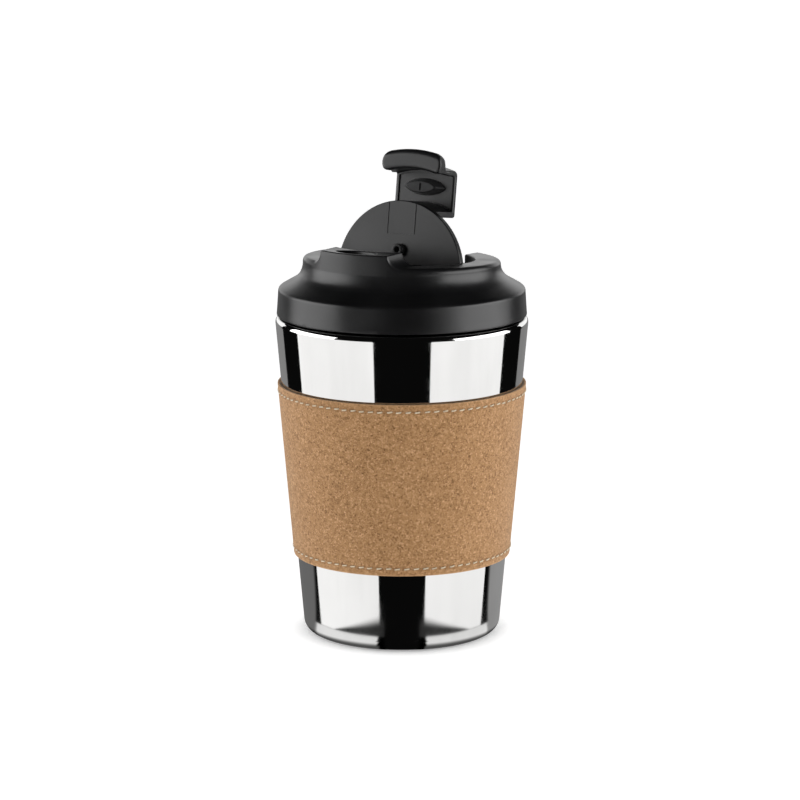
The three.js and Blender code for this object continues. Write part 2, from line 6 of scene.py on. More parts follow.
import bmesh
import bpy
import numpy as np
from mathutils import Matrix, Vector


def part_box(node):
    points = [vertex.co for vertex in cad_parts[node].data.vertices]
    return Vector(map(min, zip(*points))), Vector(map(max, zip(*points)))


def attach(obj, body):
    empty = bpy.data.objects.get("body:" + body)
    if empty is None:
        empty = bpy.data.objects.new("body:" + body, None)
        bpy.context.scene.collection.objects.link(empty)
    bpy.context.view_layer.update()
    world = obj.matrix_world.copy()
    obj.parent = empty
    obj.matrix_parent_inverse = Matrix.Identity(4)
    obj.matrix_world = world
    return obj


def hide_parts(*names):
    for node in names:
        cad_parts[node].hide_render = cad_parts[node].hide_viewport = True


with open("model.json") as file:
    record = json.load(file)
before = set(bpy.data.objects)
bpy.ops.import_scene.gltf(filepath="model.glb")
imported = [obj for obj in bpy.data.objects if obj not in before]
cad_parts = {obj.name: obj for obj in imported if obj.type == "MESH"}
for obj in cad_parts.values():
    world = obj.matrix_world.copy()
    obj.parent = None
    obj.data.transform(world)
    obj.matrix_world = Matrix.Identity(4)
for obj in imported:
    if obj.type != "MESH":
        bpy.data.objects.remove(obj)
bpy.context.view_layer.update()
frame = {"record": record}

bl_info = {
    "name": "Travel Cup",
    "version": (1, 0, 0),
    "blender": (4, 5, 0),
    "location": "View3D > Sidebar > Travel Cup",
    "description": "Builds a steel travel cup with a cork sleeve and a flap lid around its CAD",
    "category": "Add Mesh",
}

MM = 0.001
ROUND_SIDES = 256  # of every large ring
SMALL_SIDES = 64  # of pins, holes and nubs
SMOOTH_UNDER = math.radians(34)  # edges flatter than this are shaded smooth
CRISP = 0.01 * MM  # rounding of a cutter's edges
CORNERS = ((-1, -1), (1, -1), (1, 1), (-1, 1))  # of a rectangle, in order


# ---------------------------------------------------------------- sizes


def size(name, text, default):
    return bpy.props.FloatProperty(
        name=name, description=text, default=default, unit="LENGTH", subtype="DISTANCE"
    )


def number(name, text, default):
    return bpy.props.FloatProperty(name=name, description=text, default=default)


def colour(name, text, default):
    return bpy.props.FloatVectorProperty(
        name=name, description=text, default=default, size=3, subtype="COLOR", min=0, max=1
    )


def high_of(node):
    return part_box(node)[1]


def low_of(node):
    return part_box(node)[0]


def hinge_level():
    joints = frame["record"]["behaviour"]["joints"]
    return next(joint for joint in joints if joint["name"] == "flap_hinge")["pos_m"][2]


class CupSizes(bpy.types.PropertyGroup):
    shoulder_radius: size("Shoulder radius", "Widest part of the steel", 45.7 * MM)
    shoulder_height: size("Shoulder height", "Foot to shoulder", 116 * MM)
    taper: number("Taper", "Radius lost per unit of height", 0.0891)
    wall: size("Wall", "Thickness of the steel", 0.7 * MM)
    neck_radius: size("Neck radius", "Outside of the threaded neck", high_of("inner_liner")[0])
    lip_height: size("Lip height", "Foot to lip", high_of("inner_liner")[2])
    foot_width: size("Foot width", "Side's foot to the ring's inner edge", 6.36 * MM)
    floor_height: size("Floor height", "Underside of the liner", low_of("inner_liner")[2])
    thread_lead: size("Thread lead", "Climb of the thread in one turn", 6 * MM)


class SleeveSizes(bpy.types.PropertyGroup):
    bottom: size("Bottom", "Lower edge", low_of("cork_sleeve")[2])
    top: size("Top", "Upper edge", high_of("cork_sleeve")[2])
    cork_inside: size("Cork inside", "Cork's inner face over the steel", 0.55 * MM)
    cork_outside: size("Cork outside", "Cork's outer face over the steel", 1.35 * MM)
    seam: size("Seam", "Gap between the ends of the strip", 0.4 * MM)
    stitch_inset: size("Stitch inset", "Stitches from the sleeve's edge", 2.7 * MM)
    stitch_pitch: size("Stitch pitch", "One stitch to the next", 3.3 * MM)
    stitch_length: size("Stitch length", "Seen length of a stitch", 2.2 * MM)
    thread_width: size("Thread width", "Width of the sewing thread", 0.52 * MM)


class LidSizes(bpy.types.PropertyGroup):
    skirt_radius: size("Skirt radius", "Outside of the skirt's edge", 45 * MM)
    skirt_inside: size("Skirt inside", "Inside of the skirt", 42.6 * MM)
    skirt_edge: size("Skirt edge", "Lowest level of the lid", low_of("lid_body")[2])
    ceiling: size("Ceiling", "Underside of the lid", 126.6 * MM)
    rim_radius: size("Rim radius", "Outside of the rim", 35.5 * MM)
    rim_top: size("Rim top", "Level of the rim over the axis", 136.9 * MM)
    rim_slope: number("Rim slope", "Fall of the rim towards the back", 0.042)
    recess_radius: size("Recess radius", "Wall of the recess", 26.35 * MM)
    recess_floor: size("Recess floor", "Level of the recess floor", 128.6 * MM)
    mouth_top: size("Mouthpiece top", "Highest level of the lid", high_of("lid_body")[2])
    mouth_half: size("Mouthpiece half width", "Half of its level top", 13.7 * MM)
    slot_length: size("Slot length", "Drinking slot, tip to tip", 16.4 * MM)
    slot_width: size("Slot width", "Drinking slot at its middle", 6.6 * MM)


class FlapSizes(bpy.types.PropertyGroup):
    hinge_level: size("Hinge level", "Height of the hinge axis", hinge_level())
    open_angle: bpy.props.FloatProperty(
        name="Open angle",
        description="How far the flap stands open",
        default=math.radians(98),
        subtype="ANGLE",
    )
    disc_radius: size("Disc radius", "Radius of the half disc", 25.65 * MM)
    barrel_radius: size("Barrel radius", "Hinge barrel", 2.4 * MM)
    tab_half: size("Tab half width", "Half width of the tab", 12.3 * MM)
    plug_height: size("Plug height", "Depth of the drinking plug", 3.8 * MM)
    vent_offset: size("Vent offset", "Vent plug from the hinge", 8 * MM)


class Finishes(bpy.types.PropertyGroup):
    steel: colour("Steel", "Polished steel", (0.86, 0.855, 0.845))
    satin: colour("Satin steel", "Brushed steel inside the cup", (0.62, 0.61, 0.59))
    cork_light: colour("Light cork", "Palest grains", (0.64, 0.375, 0.185))
    cork_mid: colour("Cork", "Most of the grains", (0.435, 0.232, 0.092))
    cork_dark: colour("Dark cork", "Darkest grains and pores", (0.17, 0.076, 0.028))
    thread: colour("Thread", "Sewing thread", (0.88, 0.76, 0.55))
    cloth: colour("Backing cloth", "Cloth behind the cork", (0.34, 0.22, 0.125))
    plastic: colour("Lid plastic", "Moulded black plastic", (0.0075, 0.0075, 0.008))
    silicone: colour("Silicone", "Plugs and gasket", (0.012, 0.012, 0.0125))


class StageSettings(bpy.types.PropertyGroup):
    distance: size("Camera distance", "Level distance from the cup's axis", 1174.67 * MM)
    height: size("Camera height", "Above the floor", 316.84 * MM)
    azimuth: bpy.props.FloatProperty(
        name="Azimuth",
        description="Camera's turn about the cup from the front",
        default=math.radians(31),
        subtype="ANGLE",
    )
    pitch: bpy.props.FloatProperty(
        name="Pitch", description="Camera looks down by", default=0.19511, subtype="ANGLE"
    )
    lens: number("Lens", "Focal length in millimetres", 149.06)
    floor_size: size("Floor size", "Half width of the floor", 9.0)


# ---------------------------------------------------------------- making meshes


def finished(name, mesh, material, smooth_under=SMOOTH_UNDER):
    """An object from a mesh: doubles merged, faces outwards, hard edges marked."""
    made = bmesh.new()
    made.from_mesh(mesh)
    bmesh.ops.remove_doubles(made, verts=made.verts, dist=1e-6)
    bmesh.ops.dissolve_degenerate(made, dist=1e-7, edges=made.edges)
    bmesh.ops.recalc_face_normals(made, faces=made.faces)
    for face in made.faces:
        face.smooth = True
    for edge in made.edges:
        edge.smooth = len(edge.link_faces) == 2 and edge.calc_face_angle(0) < smooth_under
    made.to_mesh(mesh)
    made.free()
    mesh.name = name
    mesh.materials.clear()
    mesh.materials.append(material)
    obj = bpy.data.objects.new(name, mesh)
    bpy.context.scene.collection.objects.link(obj)
    return obj


def from_points(name, points, faces, material=None):
    mesh = bpy.data.meshes.new(name)
    mesh.from_pydata([tuple(map(float, p)) for p in points], [], faces)
    return finished(name, mesh, material)


def quarter(steps, first=0):
    """Pairs (sine, 1 - cosine) for even steps through a right angle."""
    angles = [math.pi / 2 * k / steps for k in range(first, steps + 1)]
    return [(math.sin(a), 1 - math.cos(a)) for a in angles]


def ease(share):
    """A share from 0 to 1 that starts and ends level."""
    return share * share * (3 - 2 * share)


def even(low, high, parts, first=0):
    """Evenly spaced values from low to high."""
    return [low + (high - low) * k / parts for k in range(first, parts + 1)]


def rounded(corners, steps=6):
    """Corners (x, y, radius), each with a radius turned into an arc."""
    points = []
    count = len(corners)
    for i, corner in enumerate(corners):
        at = np.array(corner[:2], float)
        radius = corner[2] if len(corner) > 2 else 0
        if not radius:
            points.append(at)
            continue
        back = np.array(corners[i - 1][:2], float) - at
        on = np.array(corners[(i + 1) % count][:2], float) - at
        back, on = back / np.linalg.norm(back), on / np.linalg.norm(on)
        half = math.acos(max(-1.0, min(1.0, float(back @ on)))) / 2
        start = at + back * radius / math.tan(half)
        end = at + on * radius / math.tan(half)
        inward = (back + on) / np.linalg.norm(back + on)
        centre = at + inward * radius / math.sin(half)
        first = math.atan2(*(start - centre)[::-1])
        sweep = math.atan2(*(end - centre)[::-1]) - first
        sweep = (sweep + math.pi) % (2 * math.pi) - math.pi
        for step in range(steps + 1):
            angle = first + sweep * step / steps
            points.append(centre + radius * np.array([math.cos(angle), math.sin(angle)]))
    return points


def divided(points, longest):
    """The same closed outline with its long edges cut into even lengths."""
    made = []
    for i, a in enumerate(points):
        b = points[(i + 1) % len(points)]
        parts = max(1, math.ceil(np.linalg.norm(b - a) / longest))
        made += [a + (b - a) * k / parts for k in range(parts)]
    return made


def grid_faces(rows, columns, closed_rows, closed_columns):
    """Quads of a grid whose point (row, column) is row * columns + column."""
    faces = []
    for i in range(rows if closed_rows else rows - 1):
        for j in range(columns if closed_columns else columns - 1):
            a, b = i * columns + j, i * columns + (j + 1) % columns
            step = ((i + 1) % rows - i) * columns
            faces.append((a, b, b + step, a + step))
    return faces


def turned(name, outline, material=None, sides=ROUND_SIDES, centre=(0, 0), gap=0.0):
    """A closed outline of (radius, height) turned about Z, open by a gap at the back."""
    whole = gap == 0
    count = sides if whole else sides + 1
    span = 2 * math.pi - gap
    start = math.pi / 2 + gap / 2
    angles = [start + span * k / sides for k in range(count)]
    points = [
        (centre[0] + r * math.cos(a), centre[1] + r * math.sin(a), z)
        for a in angles
        for r, z in outline
    ]
    faces = grid_faces(count, len(outline), whole, True)
    if not whole:
        faces.append(tuple(range(len(outline))))
        last = sides * len(outline)
        faces.append(tuple(reversed(range(last, last + len(outline)))))
    return from_points(name, points, faces, material)


def inset(outline, amount):
    """The closed outline moved inwards along its own normals."""
    line = np.array(outline)
    before, after = np.roll(line, 1, axis=0), np.roll(line, -1, axis=0)
    area = np.sum(line[:, 0] * after[:, 1] - after[:, 0] * line[:, 1])
    edge_in = (line - before) / np.linalg.norm(line - before, axis=1)[:, None]
    edge_on = (after - line) / np.linalg.norm(after - line, axis=1)[:, None]
    along = edge_in + edge_on
    along /= np.linalg.norm(along, axis=1)[:, None]
    stretch = 1 / np.maximum(0.5, np.sum(along * edge_on, axis=1))
    normal = np.stack([-along[:, 1], along[:, 0]], axis=1) * math.copysign(1, area)
    return line + normal * stretch[:, None] * amount


def lofted(name, rings):
    """Rings of the same number of points, joined in order and capped."""
    count = len(rings[0])
    points = [p for ring in rings for p in ring]
    faces = grid_faces(len(rings), count, False, True)
    faces.append(tuple(reversed(range(count))))
    last = (len(rings) - 1) * count
    faces.append(tuple(range(last, last + count)))
    return from_points(name, points, faces)


def slab(name, outline, low, high, under_round, top_round, steps=4):
    """An outline in x and y raised from low to high, with rounded edges."""
    levels = [(under_round * (1 - s), low + under_round * c) for s, c in quarter(steps)]
    levels += [(top_round * c, high - top_round * (1 - s)) for s, c in quarter(steps)]
    return lofted(name, [[(x, y, z) for x, y in inset(outline, d)] for d, z in levels])


def rod(name, radius, half, edge):
    """A rod along X through the origin, with rounded ends."""
    outline = rounded([(0, -half), (radius, -half, edge), (radius, half, edge), (0, half)], 4)
    made = turned(name, outline, sides=SMALL_SIDES)
    for vertex in made.data.vertices:
        x, y, z = vertex.co
        vertex.co = (z, y, -x)
    return made


def eye(length, width, grow=0.0, steps=24):
    """A pointed oval with softened tips, moved outwards by grow."""
    points = []
    for side in (1, -1):
        for step in range(steps):
            a = math.pi * step / steps
            along = math.cos(a) * side * length / 2
            across = math.sin(a) ** 1.35 * side * width / 2
            points.append((along, across))
    return inset([np.array(p) for p in points], -grow) if grow else np.array(points)


def evaluated_mesh(obj):
    graph = bpy.context.evaluated_depsgraph_get()
    return bpy.data.meshes.new_from_object(obj.evaluated_get(graph))


def discard(*objects):
    for obj in objects:
        bpy.data.objects.remove(obj, do_unlink=True)


def combined(name, base, others, material, operation="UNION"):
    """base joined with, or cut by, the other closed shapes, which are used up."""
    for other in others:
        change = base.modifiers.new("Combine", "BOOLEAN")
        change.operation = operation
        change.solver = "EXACT"
        change.object = other
    mesh = evaluated_mesh(base)
    discard(base, *others)
    return finished(name, mesh, material)


def even_shading(obj):
    """Large faces lead the shading where they meet small rounded ones."""
    weighted = obj.modifiers.new("Weighted normals", "WEIGHTED_NORMAL")
    weighted.keep_sharp = True
    weighted.weight = 80
    return obj


def set_piece(obj, body, slot, *nodes):
    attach(obj, body)
    if nodes:
        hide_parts(*nodes)
    return obj


# ---------------------------------------------------------------- making materials


class Tree:
    """Short hand for one node tree."""

    def __init__(self, tree):
        self.tree = tree

    def feed(self, made, inputs):
        """Links each input that is a socket, and sets each that is a value."""
        for key, value in inputs.items():
            if isinstance(value, bpy.types.NodeSocket):
                self.tree.links.new(value, made.inputs[key])
            else:
                made.inputs[key].default_value = value
        return made

    def node(self, kind, inputs=None, **settings):
        made = self.tree.nodes.new(kind)
        for key, value in settings.items():
            setattr(made, key, value)
        return self.feed(made, inputs or {})

    def math(self, operation, a, b=0.0, clamp=False):
        return self.node(
            "ShaderNodeMath", {0: a, 1: b}, operation=operation, use_clamp=clamp
        ).outputs[0]

    def remap(self, value, low, high, to_low=0.0, to_high=1.0):
        return self.node(
            "ShaderNodeMapRange",
            {0: value, 1: low, 2: high, 3: to_low, 4: to_high},
            interpolation_type="SMOOTHSTEP",
        ).outputs[0]

    def mix(self, share, a, b):
        made = self.node("ShaderNodeMix", data_type="RGBA")
        a, b = [c if isinstance(c, bpy.types.NodeSocket) else (*c[:3], 1) for c in (a, b)]
        return self.feed(made, {0: share, 6: a, 7: b}).outputs[2]

    def tinted(self, tint, mask, amount, colour):
        """tint, turned by amount towards a colour where the mask is."""
        return self.mix(self.math("MULTIPLY", mask, amount), tint, colour)

    def vector(self, operation, inputs, output=0):
        return self.node("ShaderNodeVectorMath", inputs, operation=operation).outputs[output]

    def parts(self, vector):
        return self.node("ShaderNodeSeparateXYZ", {0: vector}).outputs

    def noise(self, vector, scale, detail=3.0, roughness=0.5):
        return self.node(
            "ShaderNodeTexNoise",
            {"Vector": vector, "Scale": scale, "Detail": detail, "Roughness": roughness},
        ).outputs[0]

    def cells(self, vector, scale, feature="F1"):
        return self.node(
            "ShaderNodeTexVoronoi", {"Vector": vector, "Scale": scale}, feature=feature
        )

    def place(self):
        return self.node("ShaderNodeTexCoord").outputs["Object"]

    def level(self):
        """Height above the foot."""
        return self.parts(self.place())[2]

    def group(self, group, inputs):
        return self.feed(self.node("ShaderNodeGroup", node_tree=group), inputs).outputs


def new_group(name, inputs, outputs):
    """A shader group with float inputs and outputs, ready to be filled."""
    made = bpy.data.node_groups.new(name, "ShaderNodeTree")
    for key, value in inputs.items():
        made.interface.new_socket(
            key, in_out="INPUT", socket_type="NodeSocketFloat"
        ).default_value = value
    for key in outputs:
        made.interface.new_socket(key, in_out="OUTPUT", socket_type="NodeSocketFloat")
    tree = Tree(made)
    return made, tree, tree.node("NodeGroupInput").outputs, tree.node("NodeGroupOutput").inputs


def moulded_grain():
    """Very fine spark-eroded grain with slow unevenness, for plastic and silicone."""
    made, tree, given, out = new_group(
        "Moulded grain", {"Grain": 2600.0, "Unevenness": 60.0}, ("Height", "Mask")
    )
    place = tree.place()
    fine = tree.noise(place, given["Grain"], 2.0)
    slow = tree.noise(place, given["Unevenness"], 3.0)
    made.links.new(fine, out["Height"])
    made.links.new(tree.remap(slow, 0.35, 0.68), out["Mask"])
    return made


def edge_wear():
    """Where edges are rubbed: a narrow band along convex edges, broken up by noise."""
    made, tree, given, out = new_group(
        "Edge wear", {"Reach": 0.3 * MM, "Breakup": 420.0}, ("Mask",)
    )
    here = tree.node("ShaderNodeNewGeometry").outputs
    soft = tree.node("ShaderNodeBevel", {"Radius": given["Reach"]}, samples=4).outputs[0]
    agree = tree.vector("DOT_PRODUCT", {0: soft, 1: here["Normal"]}, "Value")
    edge = tree.remap(agree, 0.995, 0.9)
    convex = tree.remap(here["Pointiness"], 0.5, 0.52)
    broken = tree.remap(tree.noise(tree.place(), given["Breakup"], 4.0), 0.35, 0.65)
    mask = tree.math("MULTIPLY", tree.math("MULTIPLY", edge, convex), broken, True)
    made.links.new(mask, out["Mask"])
    return made


def turning_lines():
    """Rings left by turning and polishing, around the upright axis."""
    made, tree, given, out = new_group(
        "Turning lines", {"Pitch": 3000.0, "Waver": 30.0}, ("Height", "Mask")
    )
    parts = tree.parts(tree.place())
    across = tree.node(
        "ShaderNodeCombineXYZ", {0: parts[0], 1: parts[1], 2: 0.0}
    ).outputs[0]
    radius = tree.vector("LENGTH", {0: across}, "Value")
    ring = tree.node("ShaderNodeCombineXYZ", {0: radius, 1: parts[2], 2: 0.0}).outputs[0]
    lines = tree.noise(ring, given["Pitch"], 2.0, 0.6)
    slow = tree.noise(tree.place(), given["Waver"], 2.0)
    made.links.new(lines, out["Height"])
    made.links.new(tree.remap(slow, 0.3, 0.7), out["Mask"])
    return made


def woven():
    """Crossing yarns along a piece's own map, which is in metres."""
    made, tree, given, out = new_group("Woven", {"Yarns": 2200.0}, ("Height", "Mask"))
    parts = tree.parts(tree.node("ShaderNodeUVMap").outputs[0])
    waves = []
    for axis in (0, 1):
        turns = tree.math("MULTIPLY", parts[axis], given["Yarns"])
        waves.append(tree.math("ABSOLUTE", tree.math("SINE", turns)))
    over = tree.math("MAXIMUM", waves[0], waves[1])
    made.links.new(over, out["Height"])
    made.links.new(tree.remap(over, 0.55, 1.0), out["Mask"])
    return made


def bump(tree, height, distance, strength=1.0, normal=None):
    inputs = {"Height": height, "Distance": distance, "Strength": strength}
    if normal is not None:
        inputs["Normal"] = normal
    return tree.node("ShaderNodeBump", inputs).outputs[0]


def new_material(name, constants):
    made = bpy.data.materials.new(name)
    made.use_nodes = True
    tree = Tree(made.node_tree)
    shader = made.node_tree.nodes["Principled BSDF"]
    for key, value in constants.items():
        shader.inputs[key].default_value = value
    return made, tree, shader


def drive(tree, shader, **sockets):
    for key, value in sockets.items():
        tree.tree.links.new(value, shader.inputs[key.replace("_", " ")])


def shades(tint, *factors):
    return [tuple(min(1.0, c * f) for c in tint) for f in factors]


def polished_steel(finish, groups):
    """Mirror steel, faintly streaked, with a band of painted shade where the lid's skirt ends."""
    made, tree, shader = new_material("polished_steel", {"Metallic": 1.0, "IOR": 2.5})
    lines = tree.group(groups["lines"], {"Pitch": 1500.0, "Waver": 35.0})
    worn = tree.group(groups["wear"], {"Reach": 0.3 * MM, "Breakup": 300.0})["Mask"]
    smear = tree.remap(tree.noise(tree.place(), 55.0, 4.0), 0.42, 0.7)
    dull, bright, streaked = shades(finish.steel, 0.95, 1.01, 0.86)
    tint = tree.mix(lines["Mask"], bright, dull)
    drawn = tree.vector("MULTIPLY", {0: tree.place(), 1: (1.0, 1.0, 0.12)})
    streak = tree.remap(tree.noise(drawn, 75.0, 3.0), 0.4, 0.68)
    tint = tree.tinted(tint, streak, 0.5, streaked)
    rough = tree.remap(smear, 0.0, 1.0, 0.045, 0.075)
    level = tree.level()
    rough = tree.math("ADD", rough, tree.remap(level, 26 * MM, 4 * MM, 0.0, 0.05))
    # painted on, in place of the shade under the lid: it takes in the flat of the shoulder
    painted_lid_shade = tree.math(
        "MULTIPLY",
        tree.remap(level, 115.3 * MM, 115.8 * MM),
        tree.remap(level, 116.05 * MM, 116.3 * MM, 1.0, 0.0),
    )
    tint = tree.tinted(tint, painted_lid_shade, 0.86, (0.03, 0.03, 0.03))
    rough = tree.math("ADD", rough, tree.math("MULTIPLY", worn, 0.1))
    normal = bump(tree, tree.noise(tree.place(), 26.0, 1.0), 0.012 * MM, 0.5)
    normal = bump(tree, lines["Height"], 0.0006 * MM, 0.35, normal)
    drive(tree, shader, Base_Color=tint, Roughness=rough, Normal=normal)
    return made


def satin_steel(finish, groups):
    made, tree, shader = new_material("satin_steel", {"Metallic": 1.0, "IOR": 2.5})
    lines = tree.group(groups["lines"], {"Pitch": 2600.0, "Waver": 50.0})
    worn = tree.group(groups["wear"], {"Reach": 0.3 * MM, "Breakup": 300.0})["Mask"]
    dull, bright = shades(finish.satin, 0.86, 1.1)
    tint = tree.mix(lines["Mask"], bright, dull)
    tint = tree.tinted(tint, worn, 0.5, (0.8, 0.8, 0.79))
    rough = tree.remap(lines["Height"], 0.3, 0.7, 0.24, 0.4)
    normal = bump(tree, lines["Height"], 0.004 * MM, 0.6)
    drive(tree, shader, Base_Color=tint, Roughness=rough, Normal=normal)
    return made


def near_levels(tree, level, rows, inner, outer):
    """A mask that is whole within inner of any of the rows and gone at outer."""
    mask = 0.0
    for row in rows:
        away = tree.math("ABSOLUTE", tree.math("SUBTRACT", level, row))
        mask = tree.math("ADD", tree.remap(away, inner, outer, 1.0, 0.0), mask)
    return mask


def cork(finish, sleeve):
    """Pressed cork: grains of several browns, dark pores, pale flecks and sewn-in rows, with
    painted shade along the rows and painted light along the sleeve's edges.
    """
    made, tree, shader = new_material(
        "pressed_cork", {"Sheen Weight": 0.12, "Sheen Roughness": 0.6, "Specular IOR Level": 0.3}
    )
    grain_scale = 1350.0
    dark, light = finish.cork_dark, finish.cork_light
    place = tree.place()
    bend = tree.node("ShaderNodeTexNoise", {"Vector": place, "Scale": 700.0, "Detail": 2.0})
    moved = tree.vector("MULTIPLY", {0: bend.outputs[1], 1: (1.1 * MM, 1.1 * MM, 1.1 * MM)})
    place = tree.vector("ADD", {0: place, 1: moved})
    grains = tree.cells(place, grain_scale)
    lot = tree.node("ShaderNodeSeparateColor", {0: grains.outputs["Color"]}).outputs[0]
    small = tree.cells(place, 2900.0)
    small_lot = tree.node("ShaderNodeSeparateColor", {0: small.outputs["Color"]}).outputs[1]
    halves = [tree.math("MULTIPLY", each, 0.5) for each in (lot, small_lot)]
    slow = tree.math("SUBTRACT", tree.noise(place, 45.0, 4.0), 0.5)
    mixed = tree.math("ADD", tree.math("ADD", *halves), tree.math("MULTIPLY", slow, 0.2))
    tint = tree.mix(tree.remap(mixed, 0.52, 0.95), finish.cork_mid, light)
    tint = tree.mix(tree.remap(mixed, 0.44, -0.05), tint, dark)
    pores = tree.remap(tree.noise(place, 2300.0, 3.0, 0.6), 0.59, 0.68)
    tint = tree.tinted(tint, pores, 0.6, dark)
    flecks = tree.remap(tree.noise(place, 2700.0, 2.0, 0.6), 0.66, 0.72)
    tint = tree.tinted(tint, flecks, 0.6, shades(light, 1.25)[0])
    joints = tree.cells(place, grain_scale, "DISTANCE_TO_EDGE").outputs["Distance"]
    joint = tree.remap(joints, 0.0, 0.09, 1.0, 0.0)
    tint = tree.tinted(tint, joint, 0.28, dark)
    level = tree.level()
    sewn = (sleeve.bottom + sleeve.stitch_inset, sleeve.top - sleeve.stitch_inset)
    # painted shade along each sewn row, where the cork dips; the same mask bumps in the dip
    sewn_dip_and_shade = near_levels(tree, level, sewn, 0.25 * MM, 0.95 * MM)
    tint = tree.tinted(tint, sewn_dip_and_shade, 0.22, dark)
    # painted light: the cork is turned paler along the sleeve's top and bottom edges
    edge = near_levels(tree, level, (sleeve.bottom, sleeve.top), 0.1 * MM, 0.7 * MM)
    tint = tree.tinted(tint, edge, 0.45, light)
    height = tree.math("SUBTRACT", tree.math("MULTIPLY", small_lot, 0.35), pores)
    height = tree.math("SUBTRACT", height, tree.math("MULTIPLY", joint, 0.5))
    normal = bump(tree, height, 0.05 * MM, 0.7)
    normal = bump(tree, tree.math("SUBTRACT", 0.0, sewn_dip_and_shade), 0.1 * MM, 1.0, normal)
    rough = tree.remap(mixed, 0.0, 1.0, 0.9, 0.7)
    drive(tree, shader, Base_Color=tint, Roughness=rough, Normal=normal)
    return made


def backing_cloth(finish, groups):
    made, tree, shader = new_material(
        "backing_cloth", {"Sheen Weight": 0.25, "Specular IOR Level": 0.25}
    )
    weave = tree.group(groups["woven"], {"Yarns": 7000.0})
    # darker between the yarns and paler on their crowns: painted shade in the weave, beside the
    # bump
    dark, light = shades(finish.cloth, 0.55, 1.25)
    tint = tree.mix(weave["Mask"], dark, light)
    fuzz = tree.noise(tree.place(), 900.0, 4.0)
    tint = tree.tinted(tint, fuzz, 0.3, finish.cloth)
    rough = tree.remap(fuzz, 0.3, 0.7, 0.85, 0.98)
    normal = bump(tree, weave["Height"], 0.05 * MM, 0.8)
    drive(tree, shader, Base_Color=tint, Roughness=rough, Normal=normal)
    return made


def sewing_thread(finish):
    """Two plies twisted along each stitch's own map, with painted shade between the plies and at
    the stitch ends.
    """
    made, tree, shader = new_material(
        "sewing_thread", {"Sheen Weight": 0.35, "Specular IOR Level": 0.35}
    )
    parts = tree.parts(tree.node("ShaderNodeUVMap").outputs[0])
    along = tree.math("MULTIPLY", parts[0], 26.0)
    turn = tree.math("ADD", along, tree.math("MULTIPLY", parts[1], 12.566))
    ply = tree.math("ABSOLUTE", tree.math("SINE", turn))
    # darker in the twist between the plies and paler on their crowns: painted shade, beside the
    # bump
    dark, light = shades(finish.thread, 0.62, 1.1)
    tint = tree.mix(tree.remap(ply, 0.05, 0.8), dark, light)
    # painted shade at both ends, where the thread goes down into the cork
    ends = tree.math("ABSOLUTE", tree.math("SUBTRACT", parts[0], 0.5))
    tint = tree.mix(tree.remap(ends, 0.36, 0.47), tint, (0.11, 0.06, 0.028))
    soil = tree.remap(tree.noise(tree.place(), 240.0, 3.0), 0.4, 0.75)
    tint = tree.tinted(tint, soil, 0.35, (0.47, 0.34, 0.2))
    rough = tree.remap(ply, 0.0, 1.0, 0.85, 0.6)
    normal = bump(tree, ply, 0.06 * MM, 0.8)
    drive(tree, shader, Base_Color=tint, Roughness=rough, Normal=normal)
    return made


def moulded(name, tint, groups, rough_low, rough_high, depth, worn_tint, constants):
    """Black plastic or silicone with a fine grain, rubbed paler along its edges."""
    made, tree, shader = new_material(name, constants)
    grain = tree.group(groups["grain"], {"Grain": 2400.0, "Unevenness": 48.0})
    worn = tree.group(groups["wear"], {"Reach": 0.25 * MM, "Breakup": 380.0})["Mask"]
    dark, light = shades(tint, 0.85, 1.25)
    face = tree.mix(grain["Mask"], dark, light)
    face = tree.tinted(face, worn, 0.5, worn_tint)
    rough = tree.remap(grain["Mask"], 0.0, 1.0, rough_low, rough_high)
    rough = tree.math("SUBTRACT", rough, tree.math("MULTIPLY", worn, 0.08))
    normal = bump(tree, grain["Height"], depth, 0.6)
    drive(tree, shader, Base_Color=face, Roughness=rough, Normal=normal)
    return made


MATERIALS = {}


def material(name):
    """The named finish, built with its shared effects on first use."""
    if not MATERIALS:
        scene = bpy.context.scene
        finish = scene.cup_finishes
        groups = {
            "grain": moulded_grain(),
            "wear": edge_wear(),
            "lines": turning_lines(),
            "woven": woven(),
        }
        MATERIALS.update(
            polished_steel=polished_steel(finish, groups),
            satin_steel=satin_steel(finish, groups),
            cork=cork(finish, scene.cup_sleeve),
            backing_cloth=backing_cloth(finish, groups),
            stitch_thread=sewing_thread(finish),
            lid_plastic=moulded(
                "lid_plastic", finish.plastic, groups, 0.3, 0.37, 0.006 * MM,
                (0.05, 0.05, 0.051), {"IOR": 1.5, "Specular IOR Level": 0.7},
            ),
            silicone=moulded(
                "silicone", finish.silicone, groups, 0.36, 0.46, 0.01 * MM,
                (0.03, 0.03, 0.031), {"IOR": 1.43, "Sheen Weight": 0.08},
            ),
        )
    return MATERIALS[name]


# ---------------------------------------------------------------- the cup


def side_radius(cup, level):
    return cup.shoulder_radius - (cup.shoulder_height - level) * cup.taper


def helix_ridge(name, base, crest, level, first, turns, lead):
    """One ridge of the neck's thread, rounded over and run out at both ends."""
    section = (
        (-0.25, -0.65), (0.55, -0.5), (0.9, -0.38), (1.0, -0.2),
        (1.0, 0.2), (0.9, 0.38), (0.55, 0.5), (-0.25, 0.65),
    )
    rings = []
    steps = 96
    for step in range(steps + 1):
        share = step / steps
        angle = first + share * turns * 2 * math.pi
        grown = ease(min(1.0, min(share, 1 - share) * 10 + 0.05))
        ring = []
        for out, up in section:
            radius = base + (crest - base) * (out * grown if out > 0 else out)
            z = level + share * turns * lead + up * MM
            ring.append((radius * math.cos(angle), radius * math.sin(angle), z))
        rings.append(ring)
    return lofted(name, rings)


